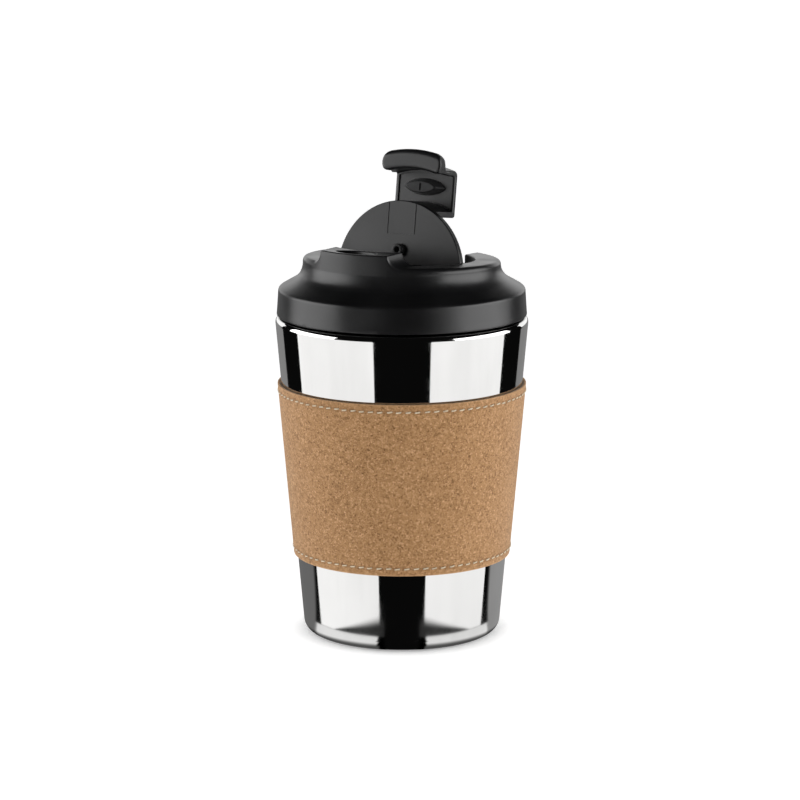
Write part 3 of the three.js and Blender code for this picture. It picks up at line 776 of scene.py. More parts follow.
class CUP_OT_outer_shell(bpy.types.Operator):
    """Polished outer shell, drawn in at the foot and threaded at the neck"""

    bl_idname = "cup.outer_shell"
    bl_label = "Outer shell"

    def execute(self, context):
        cup = context.scene.cup_sizes
        wall = cup.wall
        foot = side_radius(cup, 0) - cup.foot_width
        neck_top = high_of("outer_shell")[2]
        neck_in = cup.neck_radius - wall
        base, shoulder, top = side_radius(cup, 0), cup.shoulder_radius, cup.shoulder_height
        recessed = 1.6 * MM  # how far the base plate's seat lies above the foot
        outline = rounded(
            [
                (foot, recessed, 0.2 * MM),
                (foot, 0, 0.4 * MM),
                (base, 0, 4.5 * MM),
                (shoulder, top, 2.2 * MM),
                (cup.neck_radius, top, 0.6 * MM),
                (cup.neck_radius, neck_top, 0.2 * MM),
                (neck_in, neck_top, 0.2 * MM),
                (neck_in, top - wall, 0.4 * MM),
                (shoulder - wall, top - wall, 1.5 * MM),
                (base - wall, wall, 3.8 * MM),
                (foot + wall, wall),
                (foot + wall, recessed, 0.2 * MM),
            ],
            10,
        )
        body = turned("cup_outer_shell", divided(outline, 5 * MM))
        ridges = [
            helix_ridge(
                "ridge", cup.neck_radius, cup.neck_radius + 1.2 * MM,
                cup.shoulder_height + 2.6 * MM, start * math.pi, 0.62, cup.thread_lead,
            )
            for start in (0, 1)
        ]
        shell = combined("cup_outer_shell", body, ridges, material("polished_steel"))
        set_piece(even_shading(shell), "cup", "polished_steel", "outer_shell")
        return {"FINISHED"}


class CUP_OT_liner(bpy.types.Operator):
    """Satin inner liner with a rolled lip, and the plate and pellet under it"""

    bl_idname = "cup.liner"
    bl_label = "Liner and base"

    def execute(self, context):
        cup = context.scene.cup_sizes
        wall = cup.wall
        outside = cup.neck_radius - wall - 0.3 * MM
        floor = outside - (cup.shoulder_height - cup.floor_height) * cup.taper
        outline = rounded(
            [
                (0, cup.floor_height),
                (floor, cup.floor_height, 8 * MM),
                (outside, cup.shoulder_height, 6 * MM),
                (outside, cup.lip_height - wall, 0.1 * MM),
                (cup.neck_radius, cup.lip_height - wall, 0.1 * MM),
                (cup.neck_radius, cup.lip_height, 0.3 * MM),
                (outside - wall, cup.lip_height, 0.3 * MM),
                (outside - wall, cup.shoulder_height, 6 * MM),
                (floor - wall, cup.floor_height + wall, 7.3 * MM),
                (0, cup.floor_height + wall),
            ],
            10,
        )
        liner = turned("cup_liner", divided(outline, 5 * MM), material("satin_steel"))
        set_piece(liner, "cup", "satin_steel", "inner_liner")
        edge = high_of("base_plate")[0]
        low, top = low_of("base_plate")[2], high_of("base_plate")[2]
        dish = low + 0.3 * MM
        dished = rounded(
            [
                (0, dish),
                (14 * MM, dish, 3 * MM),
                (15 * MM, low, 2 * MM),
                (edge, low, 0.25 * MM),
                (edge, top, 0.25 * MM),
                (0, top),
            ],
            6,
        )
        plate = turned("cup_base_plate", divided(dished, 4 * MM), material("polished_steel"))
        set_piece(plate, "cup", "polished_steel", "base_plate")
        under, over = low_of("getter")[2], high_of("getter")[2]
        reach = high_of("getter")[0]
        pellet = rounded(
            [(0, under), (reach, under, 0.3 * MM), (reach, over, 0.5 * MM), (0, over)], 5
        )
        getter = turned("cup_getter", pellet, material("satin_steel"), SMALL_SIDES)
        set_piece(getter, "cup", "satin_steel", "getter")
        return {"FINISHED"}


# ---------------------------------------------------------------- the sleeve


def band(name, cup, inside, outside, low, high, edge, gap_width, step, finish):
    """A strip that follows the cup's side, with its own map in metres."""
    outline = rounded(
        [
            (side_radius(cup, low) + inside, low, edge),
            (side_radius(cup, low) + outside, low, edge),
            (side_radius(cup, high) + outside, high, edge),
            (side_radius(cup, high) + inside, high, edge),
        ],
        4,
    )
    outline = divided(outline, step)
    middle = side_radius(cup, (low + high) / 2)
    gap = gap_width / middle
    made = turned(name, outline, finish, ROUND_SIDES, gap=gap)
    layer = made.data.uv_layers.new(name="UVMap")
    for loop in made.data.loops:
        x, y, z = made.data.vertices[loop.vertex_index].co
        turn = (math.atan2(y, x) - math.pi / 2) % (2 * math.pi)
        layer.data[loop.index].uv = (turn * middle, z)
    return made


class CUP_OT_sleeve(bpy.types.Operator):
    """Cork sleeve on its cloth backing, open by a fine seam at the back"""

    bl_idname = "cup.sleeve"
    bl_label = "Cork sleeve"

    def execute(self, context):
        cup, sleeve = context.scene.cup_sizes, context.scene.cup_sleeve
        strip = band(
            "sleeve_cork", cup, sleeve.cork_inside, sleeve.cork_outside, sleeve.bottom,
            sleeve.top, 0.28 * MM, sleeve.seam, 2.5 * MM, material("cork"),
        )
        set_piece(strip, "sleeve", "cork", "cork_sleeve")
        backing = band(
            "sleeve_backing", cup, 0.15 * MM, 0.45 * MM, sleeve.bottom + 0.1 * MM,
            sleeve.top - 0.1 * MM, 0.1 * MM, 0.1 * MM, 6 * MM, material("backing_cloth"),
        )
        set_piece(backing, "sleeve", "backing_cloth", "sleeve_lining")
        return {"FINISHED"}


def stitch_tree():
    """Copies one stitch around the upright axis, each a little out of line."""
    tree = bpy.data.node_groups.new("Row of stitches", "GeometryNodeTree")
    face = tree.interface
    face.new_socket("Geometry", in_out="INPUT", socket_type="NodeSocketGeometry")
    for name, kind, value in (
        ("Count", "NodeSocketInt", 80),
        ("Start", "NodeSocketFloat", 0.0),
        ("Waver", "NodeSocketFloat", 0.0),
        ("Lift", "NodeSocketFloat", 0.0),
        ("Seed", "NodeSocketInt", 1),
    ):
        face.new_socket(name, in_out="INPUT", socket_type=kind).default_value = value
    face.new_socket("Material", in_out="INPUT", socket_type="NodeSocketMaterial")
    face.new_socket("Geometry", in_out="OUTPUT", socket_type="NodeSocketGeometry")
    nodes = Tree(tree)
    given = nodes.node("NodeGroupInput").outputs
    line = nodes.node(
        "GeometryNodeMeshLine", {"Count": given["Count"], "Offset": (0.0, 0.0, 0.0)}
    ).outputs[0]
    index = nodes.node("GeometryNodeInputIndex").outputs[0]
    step = nodes.math("DIVIDE", 2 * math.pi, given["Count"])
    turn = nodes.math("ADD", nodes.math("MULTIPLY", index, step), given["Start"])
    stray = []
    for spread in ("Waver", "Lift"):
        low = nodes.math("MULTIPLY", given[spread], -1.0)
        chance = nodes.node(
            "FunctionNodeRandomValue",
            {2: low, 3: given[spread], "ID": index, "Seed": given["Seed"]},
        )
        stray.append(chance.outputs[1])
    turn = nodes.math("ADD", turn, stray[0])
    rise = nodes.node("ShaderNodeCombineXYZ", {2: stray[1]}).outputs[0]
    line = nodes.node("GeometryNodeSetPosition", {"Geometry": line, "Offset": rise}).outputs[0]
    angles = nodes.node("ShaderNodeCombineXYZ", {2: turn}).outputs[0]
    facing = nodes.node("FunctionNodeEulerToRotation", {0: angles}).outputs[0]
    copies = nodes.node(
        "GeometryNodeInstanceOnPoints",
        {"Points": line, "Instance": given["Geometry"], "Rotation": facing},
    ).outputs[0]
    real = nodes.node("GeometryNodeRealizeInstances", {0: copies}).outputs[0]
    done = nodes.node(
        "GeometryNodeSetMaterial", {"Geometry": real, "Material": given["Material"]}
    ).outputs[0]
    tree.links.new(done, nodes.node("NodeGroupOutput").inputs[0])
    return tree


def one_stitch(radius, level, lean, length, width):
    """A stitch at the right of the cup: flat, arched, and drawn into the cork at its ends."""
    rings, maps = [], []
    steps, sides = 9, 8
    crest, dive, thick = 0.17 * MM, 0.42 * MM, 0.2 * MM
    slope = 0.14  # climb of a stitch along its length
    for step in range(steps + 1):
        share = step / steps
        along = (share - 0.5) * length
        end = abs(2 * share - 1)
        arch = crest - dive * end**4
        fat = (1 - 0.75 * end**5) ** 0.5
        for side in range(sides):
            a = 2 * math.pi * side / sides
            out = arch + math.cos(a) * thick * fat
            up = math.sin(a) * width / 2 * fat + along * slope
            bow = radius - math.sqrt(radius**2 - along**2)
            rings.append((radius - bow + out, along, level + up - out * lean))
            maps.append((share, side / sides))
    faces = grid_faces(steps + 1, sides, False, True)
    faces.append(tuple(reversed(range(sides))))
    faces.append(tuple(range(steps * sides, (steps + 1) * sides)))
    made = from_points("stitch", rings, faces)
    layer = made.data.uv_layers.new(name="UVMap")
    for loop in made.data.loops:
        layer.data[loop.index].uv = maps[loop.vertex_index]
    return made


class CUP_OT_stitches(bpy.types.Operator):
    """A row of stitches along each edge of the sleeve"""

    bl_idname = "cup.stitches"
    bl_label = "Stitches"

    def execute(self, context):
        cup, sleeve = context.scene.cup_sizes, context.scene.cup_sleeve
        tree = stitch_tree()
        keys = {s.name: s.identifier for s in tree.interface.items_tree if s.in_out == "INPUT"}
        rows = (
            ("upper", sleeve.top - sleeve.stitch_inset, 11),
            ("lower", sleeve.bottom + sleeve.stitch_inset, 23),
        )
        for name, level, seed in rows:
            radius = side_radius(cup, level) + sleeve.cork_outside
            count = round(2 * math.pi * radius / sleeve.stitch_pitch)
            seed_stitch = one_stitch(
                radius, level, cup.taper, sleeve.stitch_length, sleeve.thread_width
            )
            repeat = seed_stitch.modifiers.new("Row", "NODES")
            repeat.node_group = tree
            repeat[keys["Count"]] = count
            repeat[keys["Start"]] = math.pi / 2 + math.pi / count
            repeat[keys["Waver"]] = 0.16 * MM / radius
            repeat[keys["Lift"]] = 0.08 * MM
            repeat[keys["Seed"]] = seed
            repeat[keys["Material"]] = material("stitch_thread")
            mesh = evaluated_mesh(seed_stitch)
            discard(seed_stitch)
            row = finished(f"stitches_{name}", mesh, material("stitch_thread"), math.pi)
            set_piece(row, "sleeve", "stitch_thread", f"stitch_row_{name}")
        return {"FINISHED"}


# ---------------------------------------------------------------- the lid


MOUTH_RUN = 4.5 * MM  # width of the slope at each side of the mouthpiece
NOTCH_HALF = 12.7 * MM  # half width of the notch behind the flap
NOTCH_STEP = 1.7 * MM  # floor of the notch over the floor of the recess
LID_SOFT = 0.5 * MM  # rounding of the lid's small edges


def slot_middle(lid):
    return -(lid.recess_radius + lid.rim_radius) / 2


def lid_columns(lid):
    """Places across the lid from the middle of the mouthpiece to the middle of the notch.

    Each is (kind, at, fall, plain): at is a distance from the middle line, or a share of the
    way round for the kind round. fall is how far the top lies below its highest, and plain is
    1 where the rim is an ordinary one."""
    rise = lid.mouth_top - lid.rim_top
    soft, half, notch = LID_SOFT, lid.mouth_half, NOTCH_HALF
    columns = [("mouth", (half - soft) * k / 12, 0.0, 0.0) for k in range(13)]
    columns += [("mouth", half - soft + soft * s, soft * c, 0.0) for s, c in quarter(5, 1)]
    lowest = math.asin(soft / rise)
    for k in range(1, 15):
        a = lowest + (math.pi / 2 - lowest) * k / 14
        columns.append(("mouth", half + MOUTH_RUN * (1 - math.cos(a)), rise * math.sin(a), k / 14))
    columns += [("round", k / 72, rise, 1.0) for k in range(1, 72)]
    columns += [("rim", notch + soft * (1 - s), soft * c, 1.0) for s, c in quarter(5)]
    columns += [("notch", notch - soft * c, soft * (1 - s), 0.0) for s, c in quarter(5)]
    columns += [("notch", (notch - soft) * (1 - k / 8), 0.0, 0.0) for k in range(1, 9)]
    return columns


def lid_side(lid, skirt_top, flare_foot):
    """Radius and level of the lid's outside, from the skirt's edge up past the rim."""
    edge, far = lid.skirt_edge, lid.mouth_top + 20 * MM
    side = rounded(
        [
            (lid.skirt_radius, edge - 20 * MM),
            (lid.skirt_radius - 0.6 * MM, skirt_top, 1.5 * MM),
            (lid.rim_radius, flare_foot, 7 * MM),
            (lid.rim_radius, far),
            (0, far),
            (0, edge - 20 * MM),
        ],
        16,
    )[:-2]
    side[0] = (lid.skirt_radius, edge)  # the skirt tapers from its edge
    return np.array(side)


def lid_spot(lid, kind, at, radius):
    """Where a column crosses a circle of this radius."""
    if kind == "round":
        first = math.asin((lid.mouth_half + MOUTH_RUN) / radius)
        last = math.pi - math.asin((NOTCH_HALF + LID_SOFT) / radius)
        angle = first + (last - first) * at
    else:
        angle = math.asin(min(1.0, at / radius))
        if kind != "mouth":
            angle = math.pi - angle
    return radius * math.sin(angle), -radius * math.cos(angle)


def lid_body_points(lid):
    """Closed grid of the lid: each column runs from the middle of its underside, out and up
    over the rim, and back to the middle of the recess floor."""
    soft, inner = LID_SOFT, lid.recess_radius
    edge, skirt, inside = lid.skirt_edge, lid.skirt_radius, lid.skirt_inside
    skirt_top = lid.ceiling - 0.6 * MM
    flare_foot = skirt_top + (skirt - 0.6 * MM - lid.rim_radius) * 0.57
    bend = skirt_top - 1.6 * MM
    foot = lid.recess_floor + soft
    side = lid_side(lid, skirt_top, flare_foot)

    def reach(level):
        return float(np.interp(level, side[:, 1], side[:, 0]))

    def slant(level, y):
        rising = (level - flare_foot) / (lid.rim_top - flare_foot)
        fading = (lid.mouth_top - level) / (lid.mouth_top - lid.rim_top)
        return level - lid.rim_slope * y * max(0.0, min(rising, fading, 1.0))

    under = [(inner * 0.5, lid.ceiling), (inner, lid.ceiling)]
    under += [(inner + (inside - inner) * k / 3, lid.ceiling) for k in (1, 2)]
    under += [(inside - 0.4 * MM, lid.ceiling), (inside, lid.ceiling - 0.4 * MM)]
    under += [(inside, edge + 5 * MM), (inside, edge + 0.3 * MM)]
    under += [(inside + 0.3 * MM, edge), (skirt - soft, edge)]
    under += [(skirt - soft * (1 - s), edge + soft * c) for s, c in quarter(4, 1)]
    under += [(reach(level), level) for level in even(edge, bend, 5, 1)[:-1]]
    rows = []
    for kind, at, fall, plain in lid_columns(lid):
        if kind == "notch":
            top = lid.recess_floor + NOTCH_STEP + fall
            outer_round, inner_round = 0.4 * MM, 0.4 * MM
        elif kind == "rim":
            top = lid.rim_top - fall
            outer_round, inner_round = 1.6 * MM, 0.5 * MM
        else:
            top = lid.mouth_top - fall
            outer_round = (0.6 + plain) * MM
            inner_round = (0.4 + 0.1 * plain) * MM
        wall_top = top - outer_round
        knee = min(flare_foot + 3.6 * MM, wall_top)
        out, start = reach(wall_top), top - inner_round
        line = under + [(reach(level), level) for level in even(bend, knee, 30)]
        line += [(reach(knee), level) for level in even(knee, wall_top, 3, 1)]
        line += [(out - outer_round * c, wall_top + outer_round * s) for s, c in quarter(7, 1)]
        line += [(r, top) for r in even(out - outer_round, inner + inner_round, 6, 1)]
        line += [
            (inner + inner_round * (1 - s), top - inner_round * c) for s, c in quarter(4, 1)
        ]
        line += [(inner, level) for level in even(start, foot, 4, 1)]
        line += [(inner - soft * c, foot - soft * s) for s, c in quarter(4, 1)]
        line += [(inner * 0.6, lid.recess_floor), (inner * 0.25, lid.recess_floor)]
        aside, ahead = lid_spot(lid, kind, at, inner)
        in_angle = math.atan2(aside, -ahead)
        row = []
        for radius, level in line:
            if radius < inner:
                x, y = radius * math.sin(in_angle), -radius * math.cos(in_angle)
            else:
                x, y = lid_spot(lid, kind, at, radius)
            row.append((x, y, slant(level, y) if kind != "notch" else level))
        rows.append(row)
    return rows


def lid_body_object(lid):
    half = lid_body_points(lid)
    other = [[(-x, y, z) for x, y, z in row] for row in reversed(half[1:-1])]
    rows = half + other
    count = len(half[0])
    points = [p for row in rows for p in row]
    faces = grid_faces(len(rows), count, True, False)
    for level, column in ((lid.ceiling, 0), (lid.recess_floor, count - 1)):
        points.append((0, 0, level))
        hub = len(points) - 1
        for i in range(len(rows)):
            a, b = i * count + column, (i + 1) % len(rows) * count + column
            faces.append((hub, a, b))
    return from_points("lid_body", points, faces)


def slot_cutter(lid):
    """The drinking slot, opened out by a soft lip at the top and narrowed below."""
    middle, soft, narrowed = slot_middle(lid), 0.45 * MM, 0.86
    levels = [(soft, lid.mouth_top + 1 * MM, 1.0)]
    levels += [(soft * (1 - s), lid.mouth_top - soft * c, 1.0) for s, c in quarter(5)]
    levels.append((0.0, lid.mouth_top - 2.9 * MM, narrowed))
    levels.append((0.0, lid.ceiling - 1 * MM, narrowed))
    rings = [
        [(x, y + middle, z) for x, y in eye(lid.slot_length * share, lid.slot_width * share, grow)]
        for grow, z, share in levels
    ]
    return lofted("slot", rings)


def vent_cutter(radius, soft, low, top, offset):
    """A round hole with a soft upper edge."""
    outline = [(0, low), (radius, low)]
    outline += [(radius + soft * c, top - soft * (1 - s)) for s, c in quarter(4)]
    outline += [(radius + soft, top + 1 * MM), (0, top + 1 * MM)]
    return turned("vent", outline, sides=SMALL_SIDES, centre=(0, offset))


class CUP_OT_lid(bpy.types.Operator):
    """Lid body with its mouthpiece, slot, recess and notch, and the plate and gasket inside"""

    bl_idname = "cup.lid"
    bl_label = "Lid"

    def execute(self, context):
        lid, flap = context.scene.cup_lid, context.scene.cup_flap
        vent_at = -flap.vent_offset - 0.4 * MM
        body = lid_body_object(lid)
        sockets = rod("sockets", 1.95 * MM, lid.recess_radius + 3.3 * MM, 0.1 * MM)
        for vertex in sockets.data.vertices:
            vertex.co.z += flap.hinge_level
        vent = vent_cutter(2.8 * MM, 0.3 * MM, lid.ceiling - 1 * MM, lid.recess_floor, vent_at)
        cutters = [slot_cutter(lid), vent, sockets]
        shell = combined("lid_shell", body, cutters, material("lid_plastic"), "DIFFERENCE")
        set_piece(even_shading(shell), "lid", "lid_plastic", "lid_body")

        low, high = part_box("lid_inner_plate")
        edge, top = high[0], high[2]
        under = top - 1.4 * MM
        flange = edge - 1.6 * MM
        outline = rounded(
            [
                (0, under),
                (flange, under, 0.6 * MM),
                (flange, low[2], 0.4 * MM),
                (edge, low[2], 0.4 * MM),
                (edge, top, 0.3 * MM),
                (0, top),
            ],
            5,
        )
        disc = turned("lid_plate", divided(outline, 4 * MM))
        middle = slot_middle(lid)
        port = rounded(
            [(sx * 8 * MM, middle + sy * 2.5 * MM, 2 * MM) for sx, sy in CORNERS], 8
        )
        hole = slab("port", port, under - 1 * MM, top + 1 * MM, CRISP, CRISP, steps=1)
        air = vent_cutter(1.6 * MM, 0.1 * MM, under - 1 * MM, top, vent_at)
        plate = combined("lid_plate", disc, [hole, air], material("lid_plastic"), "DIFFERENCE")
        set_piece(even_shading(plate), "lid", "lid_plastic", "lid_inner_plate")

        low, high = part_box("lid_gasket")
        inner = edge + 0.3 * MM
        ring = rounded(
            [
                (inner, low[2], 0.5 * MM),
                (high[0], low[2], 0.5 * MM),
                (high[0], high[2], 0.3 * MM),
                (inner, high[2], 0.3 * MM),
            ],
            6,
        )
        gasket = turned("lid_seal", ring, material("silicone"))
        set_piece(gasket, "gasket", "silicone", "lid_gasket")
        return {"FINISHED"}


# ---------------------------------------------------------------- the flap


def opened(obj, flap):
    """Turns a piece that was built closed, hinge at the origin, to the flap's rest angle."""
    angle = -flap.open_angle
    c, s = math.cos(angle), math.sin(angle)
    for vertex in obj.data.vertices:
        x, y, z = vertex.co
        vertex.co = (x, y * c - z * s, y * s + z * c + flap.hinge_level)
    return obj


def flap_levels(lid, flap):
    """Levels over the hinge, with the flap closed."""
    disc_under = lid.recess_floor + 0.3 * MM - flap.hinge_level
    tab_under = lid.mouth_top + 0.7 * MM - flap.hinge_level
    return {
        "disc_under": disc_under,
        "plate_top": disc_under + 1.2 * MM,
        "shell_under": disc_under + 1.3 * MM,
        "shell_top": disc_under + 2.7 * MM,
        "tab_under": tab_under,
        "tab_top": tab_under + 2.2 * MM,
        "tray_floor": tab_under + 0.6 * MM,
        "web_in": lid.rim_radius + 1.7 * MM,
    }


def half_disc(radius, from_y):
    """The front part of a circle, cut straight across at from_y."""
    steps = 96
    start = math.asin(from_y / radius)
    angles = [math.pi + start + (math.pi - 2 * start) * k / steps for k in range(steps + 1)]
    points = [np.array([radius * math.cos(a), radius * math.sin(a)]) for a in angles]
    flat = [points[-1] + (points[0] - points[-1]) * k / 24 for k in range(1, 24)]
    return points + flat


def tab_rings(lid, flap):
    """The tab, web and finger ledge: one section carried across, its ends rounded over."""
    at = flap_levels(lid, flap)
    web_in = at["web_in"]
    web_out, ledge_out = web_in + 2 * MM, web_in + 7 * MM
    ledge_under = at["tab_under"] - 11 * MM
    ledge_top = ledge_under + 4.2 * MM
    inner = flap.disc_radius - 5.15 * MM
    section = rounded(
        [
            (inner, at["tab_under"], 0.8 * MM),
            (web_in, at["tab_under"], 0.6 * MM),
            (web_in, ledge_under, 1.5 * MM),
            (ledge_out, ledge_under, 2.0 * MM),
            (ledge_out, ledge_top, 2.0 * MM),
            (web_out, ledge_top, 1.8 * MM),
            (web_out, at["tab_top"], 1.8 * MM),
            (inner, at["tab_top"], 0.9 * MM),
        ],
        7,
    )
    section = np.array(divided(section, 1.6 * MM))
    soft, end_round = 0.75 * MM, 2.9 * MM
    blend = 3.5 * MM  # height over which the ledge's rounded ends die away
    ledge_middle, ledge_half = (web_in + ledge_out) / 2, (ledge_out - web_in) / 2
    half = flap.tab_half
    flat = half - soft
    places = [(-flat + 2 * flat * k / 56, 0.0) for k in range(57)]
    ends = [(soft * s, soft * c) for s, c in quarter(5, 1)]
    columns = [(-flat - x, d) for x, d in reversed(ends)] + places
    columns += [(flat + x, d) for x, d in ends]
    rings = []
    for x, depth in columns:
        line = inset(section, depth) if depth else section
        ring = []
        for radius, level in line:
            low_share = ease(max(0.0, min(1.0, (ledge_top + blend - level) / blend)))
            off = min(0.97, abs(radius - ledge_middle) / ledge_half)
            narrowed = end_round * low_share * (1 - math.sqrt(1 - off * off))
            across = x * (1 - narrowed / half)
            if radius >= web_in:
                y = math.sqrt(radius**2 - across**2)
            else:
                share = max(0.0, (radius - inner) / (web_in - inner))
                start = min(radius, inner)
                y = start * (1 - share) + share * math.sqrt(web_in**2 - across**2)
            ring.append((across, -y, level))
        rings.append(ring)
    return rings


def arc_block(name, inner, outer, half, low, high):
    """A piece of ring in front of the hinge, as wide as twice half."""
    outline = []
    for radius, order in ((outer, 1), (inner, -1)):
        reach = math.asin(half / radius)
        for k in range(41):
            a = reach * (2 * k / 40 - 1) * order
            outline.append(np.array([radius * math.sin(a), -radius * math.cos(a)]))
    return slab(name, outline, low, high, 0.02 * MM, 0.02 * MM, steps=1)


class CUP_OT_flap(bpy.types.Operator):
    """Flap with its hinge barrel, half disc, wall, tab and finger ledge"""

    bl_idname = "cup.flap"
    bl_label = "Flap"

    def execute(self, context):
        lid, flap = context.scene.cup_lid, context.scene.cup_flap
        at = flap_levels(lid, flap)
        radius = flap.disc_radius
        barrel = rod("barrel", flap.barrel_radius, radius - 0.4 * MM, 0.4 * MM)
        pins = rod("pins", 1.65 * MM, lid.recess_radius + 3 * MM, 0.4 * MM)
        upper = slab(
            "upper", half_disc(radius, 0.2 * MM), at["shell_under"], at["shell_top"],
            0.15 * MM, 0.45 * MM,
        )
        wall = arc_block(
            "wall", radius - 1.8 * MM, radius - 0.02 * MM, flap.tab_half - 0.05 * MM,
            at["shell_under"] + 0.3 * MM, at["tab_under"] + 0.5 * MM,
        )
        tab = lofted("tab", tab_rings(lid, flap))
        whole = combined("flap_body", barrel, [pins, upper, wall, tab], None)
        tray = arc_block(
            "tray", radius + 0.3 * MM, at["web_in"] - 0.8 * MM, flap.tab_half - 1.3 * MM,
            at["tab_under"] - 1 * MM, at["tray_floor"],
        )
        body = combined("flap_body", whole, [tray], material("lid_plastic"), "DIFFERENCE")
        set_piece(even_shading(opened(body, flap)), "flap", "lid_plastic", "flap_shell")

        bore, deep = 1.5 * MM, 9 * MM
        stem = turned(
            "stem", [(0, -deep), (bore, -deep), (bore, deep), (0, deep)],
            sides=SMALL_SIDES, centre=(0, -flap.vent_offset),
        )
        # a fine three-sided line in the disc, open towards its rim
        far, near, side, line = radius + 2 * MM, 13.6 * MM, 5.75 * MM, 0.32 * MM
        groove = [
            (-side, -far), (-side, -near), (side, -near), (side, -far),
            (side - line, -far), (side - line, -near - line),
            (line - side, -near - line), (line - side, -far),
        ]
        groove = divided([np.array(p) for p in groove], 3 * MM)
        panel = slab(
            "panel", groove[::-1], at["disc_under"] - 1 * MM, at["disc_under"] + 0.25 * MM,
            CRISP, CRISP, steps=1,
        )
        lower = slab(
            "lower", half_disc(radius, flap.barrel_radius + 0.3 * MM), at["disc_under"],
            at["plate_top"], 0.35 * MM, 0.12 * MM,
        )
        plate = combined("flap_disc", lower, [stem, panel], material("lid_plastic"), "DIFFERENCE")
        set_piece(even_shading(opened(plate, flap)), "flap", "lid_plastic", "flap_plate")
        return {"FINISHED"}


class CUP_OT_plugs(bpy.types.Operator):
    """Silicone plugs of the drinking slot and the vent"""

    bl_idname = "cup.plugs"
    bl_label = "Plugs"

    def execute(self, context):
        lid, flap = context.scene.cup_lid, context.scene.cup_flap
        at = flap_levels(lid, flap)
        base = at["tray_floor"] - 0.1 * MM
        tip = base - flap.plug_height
        middle = slot_middle(lid)
        long, wide = lid.slot_length + 0.6 * MM, lid.slot_width - 0.3 * MM
        soft = 0.7 * MM
        levels = [(1.0, base, 0.0)]
        for k in range(1, 6):
            levels.append((1 - 0.05 * k, base - (flap.plug_height - soft) * k / 5, 0.0))
        levels += [(0.75, tip + soft * (1 - s), soft * c) for s, c in quarter(5, 1)]
        rings = [
            [
                (x, y + middle, z)
                for x, y in eye(long * share - 2.6 * shrunk, wide * share - 2 * shrunk)
            ]
            for share, z, shrunk in levels
        ]
        body = lofted("plug", rings)
        half, reach = 0.35 * MM, 1.3 * MM
        slit = rounded([(sx * half, middle + sy * reach) for sx, sy in CORNERS])
        cut = slab("slit", slit, tip - 1 * MM, tip + 0.8 * MM, CRISP, 0.05 * MM, steps=1)
        plug = combined("flap_drink_plug", body, [cut], material("silicone"), "DIFFERENCE")
        set_piece(even_shading(opened(plug, flap)), "flap", "silicone", "drink_plug")

        base = at["disc_under"] - 0.1 * MM
        tip = base - 2 * MM
        bore, shank, crown = 1 * MM, 1.4 * MM, 2.2 * MM
        outline = rounded(
            [
                (0, base - 0.4 * MM),
                (bore, base - 0.4 * MM, 0.1 * MM),
                (bore, tip, 0.25 * MM),
                (crown, tip, 0.45 * MM),
                (crown, base, 0.2 * MM),
                (shank, base, 0.1 * MM),
                (shank, at["plate_top"], 0.2 * MM),
                (0, at["plate_top"]),
            ],
            5,
        )
        nub = turned(
            "flap_vent_plug", outline, material("silicone"), SMALL_SIDES, (0, -flap.vent_offset)
        )
        set_piece(opened(nub, flap), "flap", "silicone", "vent_plug")
        return {"FINISHED"}


# ---------------------------------------------------------------- the stage


def softbox(stage, name, bearing, distance, width, low, high, power):
    """An upright area light that faces the cup, at a bearing from the camera's own side."""
    data = bpy.data.lights.new(name, "AREA")
    data.shape = "RECTANGLE"
    data.size, data.size_y = width, high - low
    data.energy = power * width * (high - low)
    light = bpy.data.objects.new(name, data)
    bpy.context.scene.collection.objects.link(light)
    turn = stage.azimuth + math.radians(bearing)
    light.location = (distance * math.sin(turn), -distance * math.cos(turn), (low + high) / 2)
    light.rotation_euler = (math.pi / 2, 0, turn)
    light.visible_camera = False


# name, bearing from the camera's side in degrees, distance, width, low and high, strength; the
# lower ones show in the steel, which mirrors what lies below the level of the table
LIGHTS = (
    ("light_left_low", -68, 0.95, 1.71, -0.8, -0.02, 3.3),
    ("light_right_low", 66.5, 0.95, 1.6, -0.8, -0.02, 3.3),
    ("light_left_high", -90, 0.95, 1.02, 0.0, 0.6, 8.5),
    ("light_right_high", 80, 0.95, 1.2, 0.0, 0.6, 8.5),
    ("light_back", 180, 3.2, 6.0, 0.04, 1.5, 3.4),
    ("light_back_low", 180, 3.2, 5.4, -2.4, 0.0, 0.75),
)


def ramp(value, low, high):
    return ease(max(0.0, min(1.0, (value - low) / (high - low))))


def mirrored_from(bearing, radius, foot):
    """Bearing in which a mirror round the foot is looking when it shows this spot."""
    low, high = 0.0, 90.0
    for _ in range(24):
        middle = (low + high) / 2
        turn = math.radians(middle)
        along = math.sqrt(radius**2 - (foot * math.sin(turn)) ** 2) - foot * math.cos(turn)
        seen = middle + math.degrees(math.asin(min(1.0, along * math.sin(turn) / radius)))
        low, high = (middle, high) if seen < abs(bearing) else (low, middle)
    return low + high


def painted_reflection_tone(bearing, radius, foot):
    """The painted reflection the steel shows round its foot, as (tone, cover), with painted shade
    close to the foot. The bearing is in degrees, and so are the levels that away is tested
    against; those for reach are in millimetres."""
    away, reach = mirrored_from(bearing, radius, foot), radius / MM
    side = ramp(away, 108, 116)
    low_edge = 1 - ramp(reach, 46.5, 48)
    lit = ramp(away, 26, 27) * low_edge * (1 - side)
    depth = 15 * max(0.0, (80 - away) / 54)
    wedge = ramp(away, 17, 20) * (1 - ramp(reach, 47 + 0.6 * depth, 48 + 1.2 * depth)) * (1 - side)
    # painted shadow in the reflection: the tone is darkened close to the foot
    near = 1 - ramp(reach, 34.5, 38.5)
    tone = 0.85 * lit + (0.15 if bearing < 0 else 0.3) * side
    tone += 0.03 * (1 - low_edge) * wedge
    return tone * (1 - 0.9 * near), max(lit, wedge, side * (1 - ramp(reach, 105, 150)))


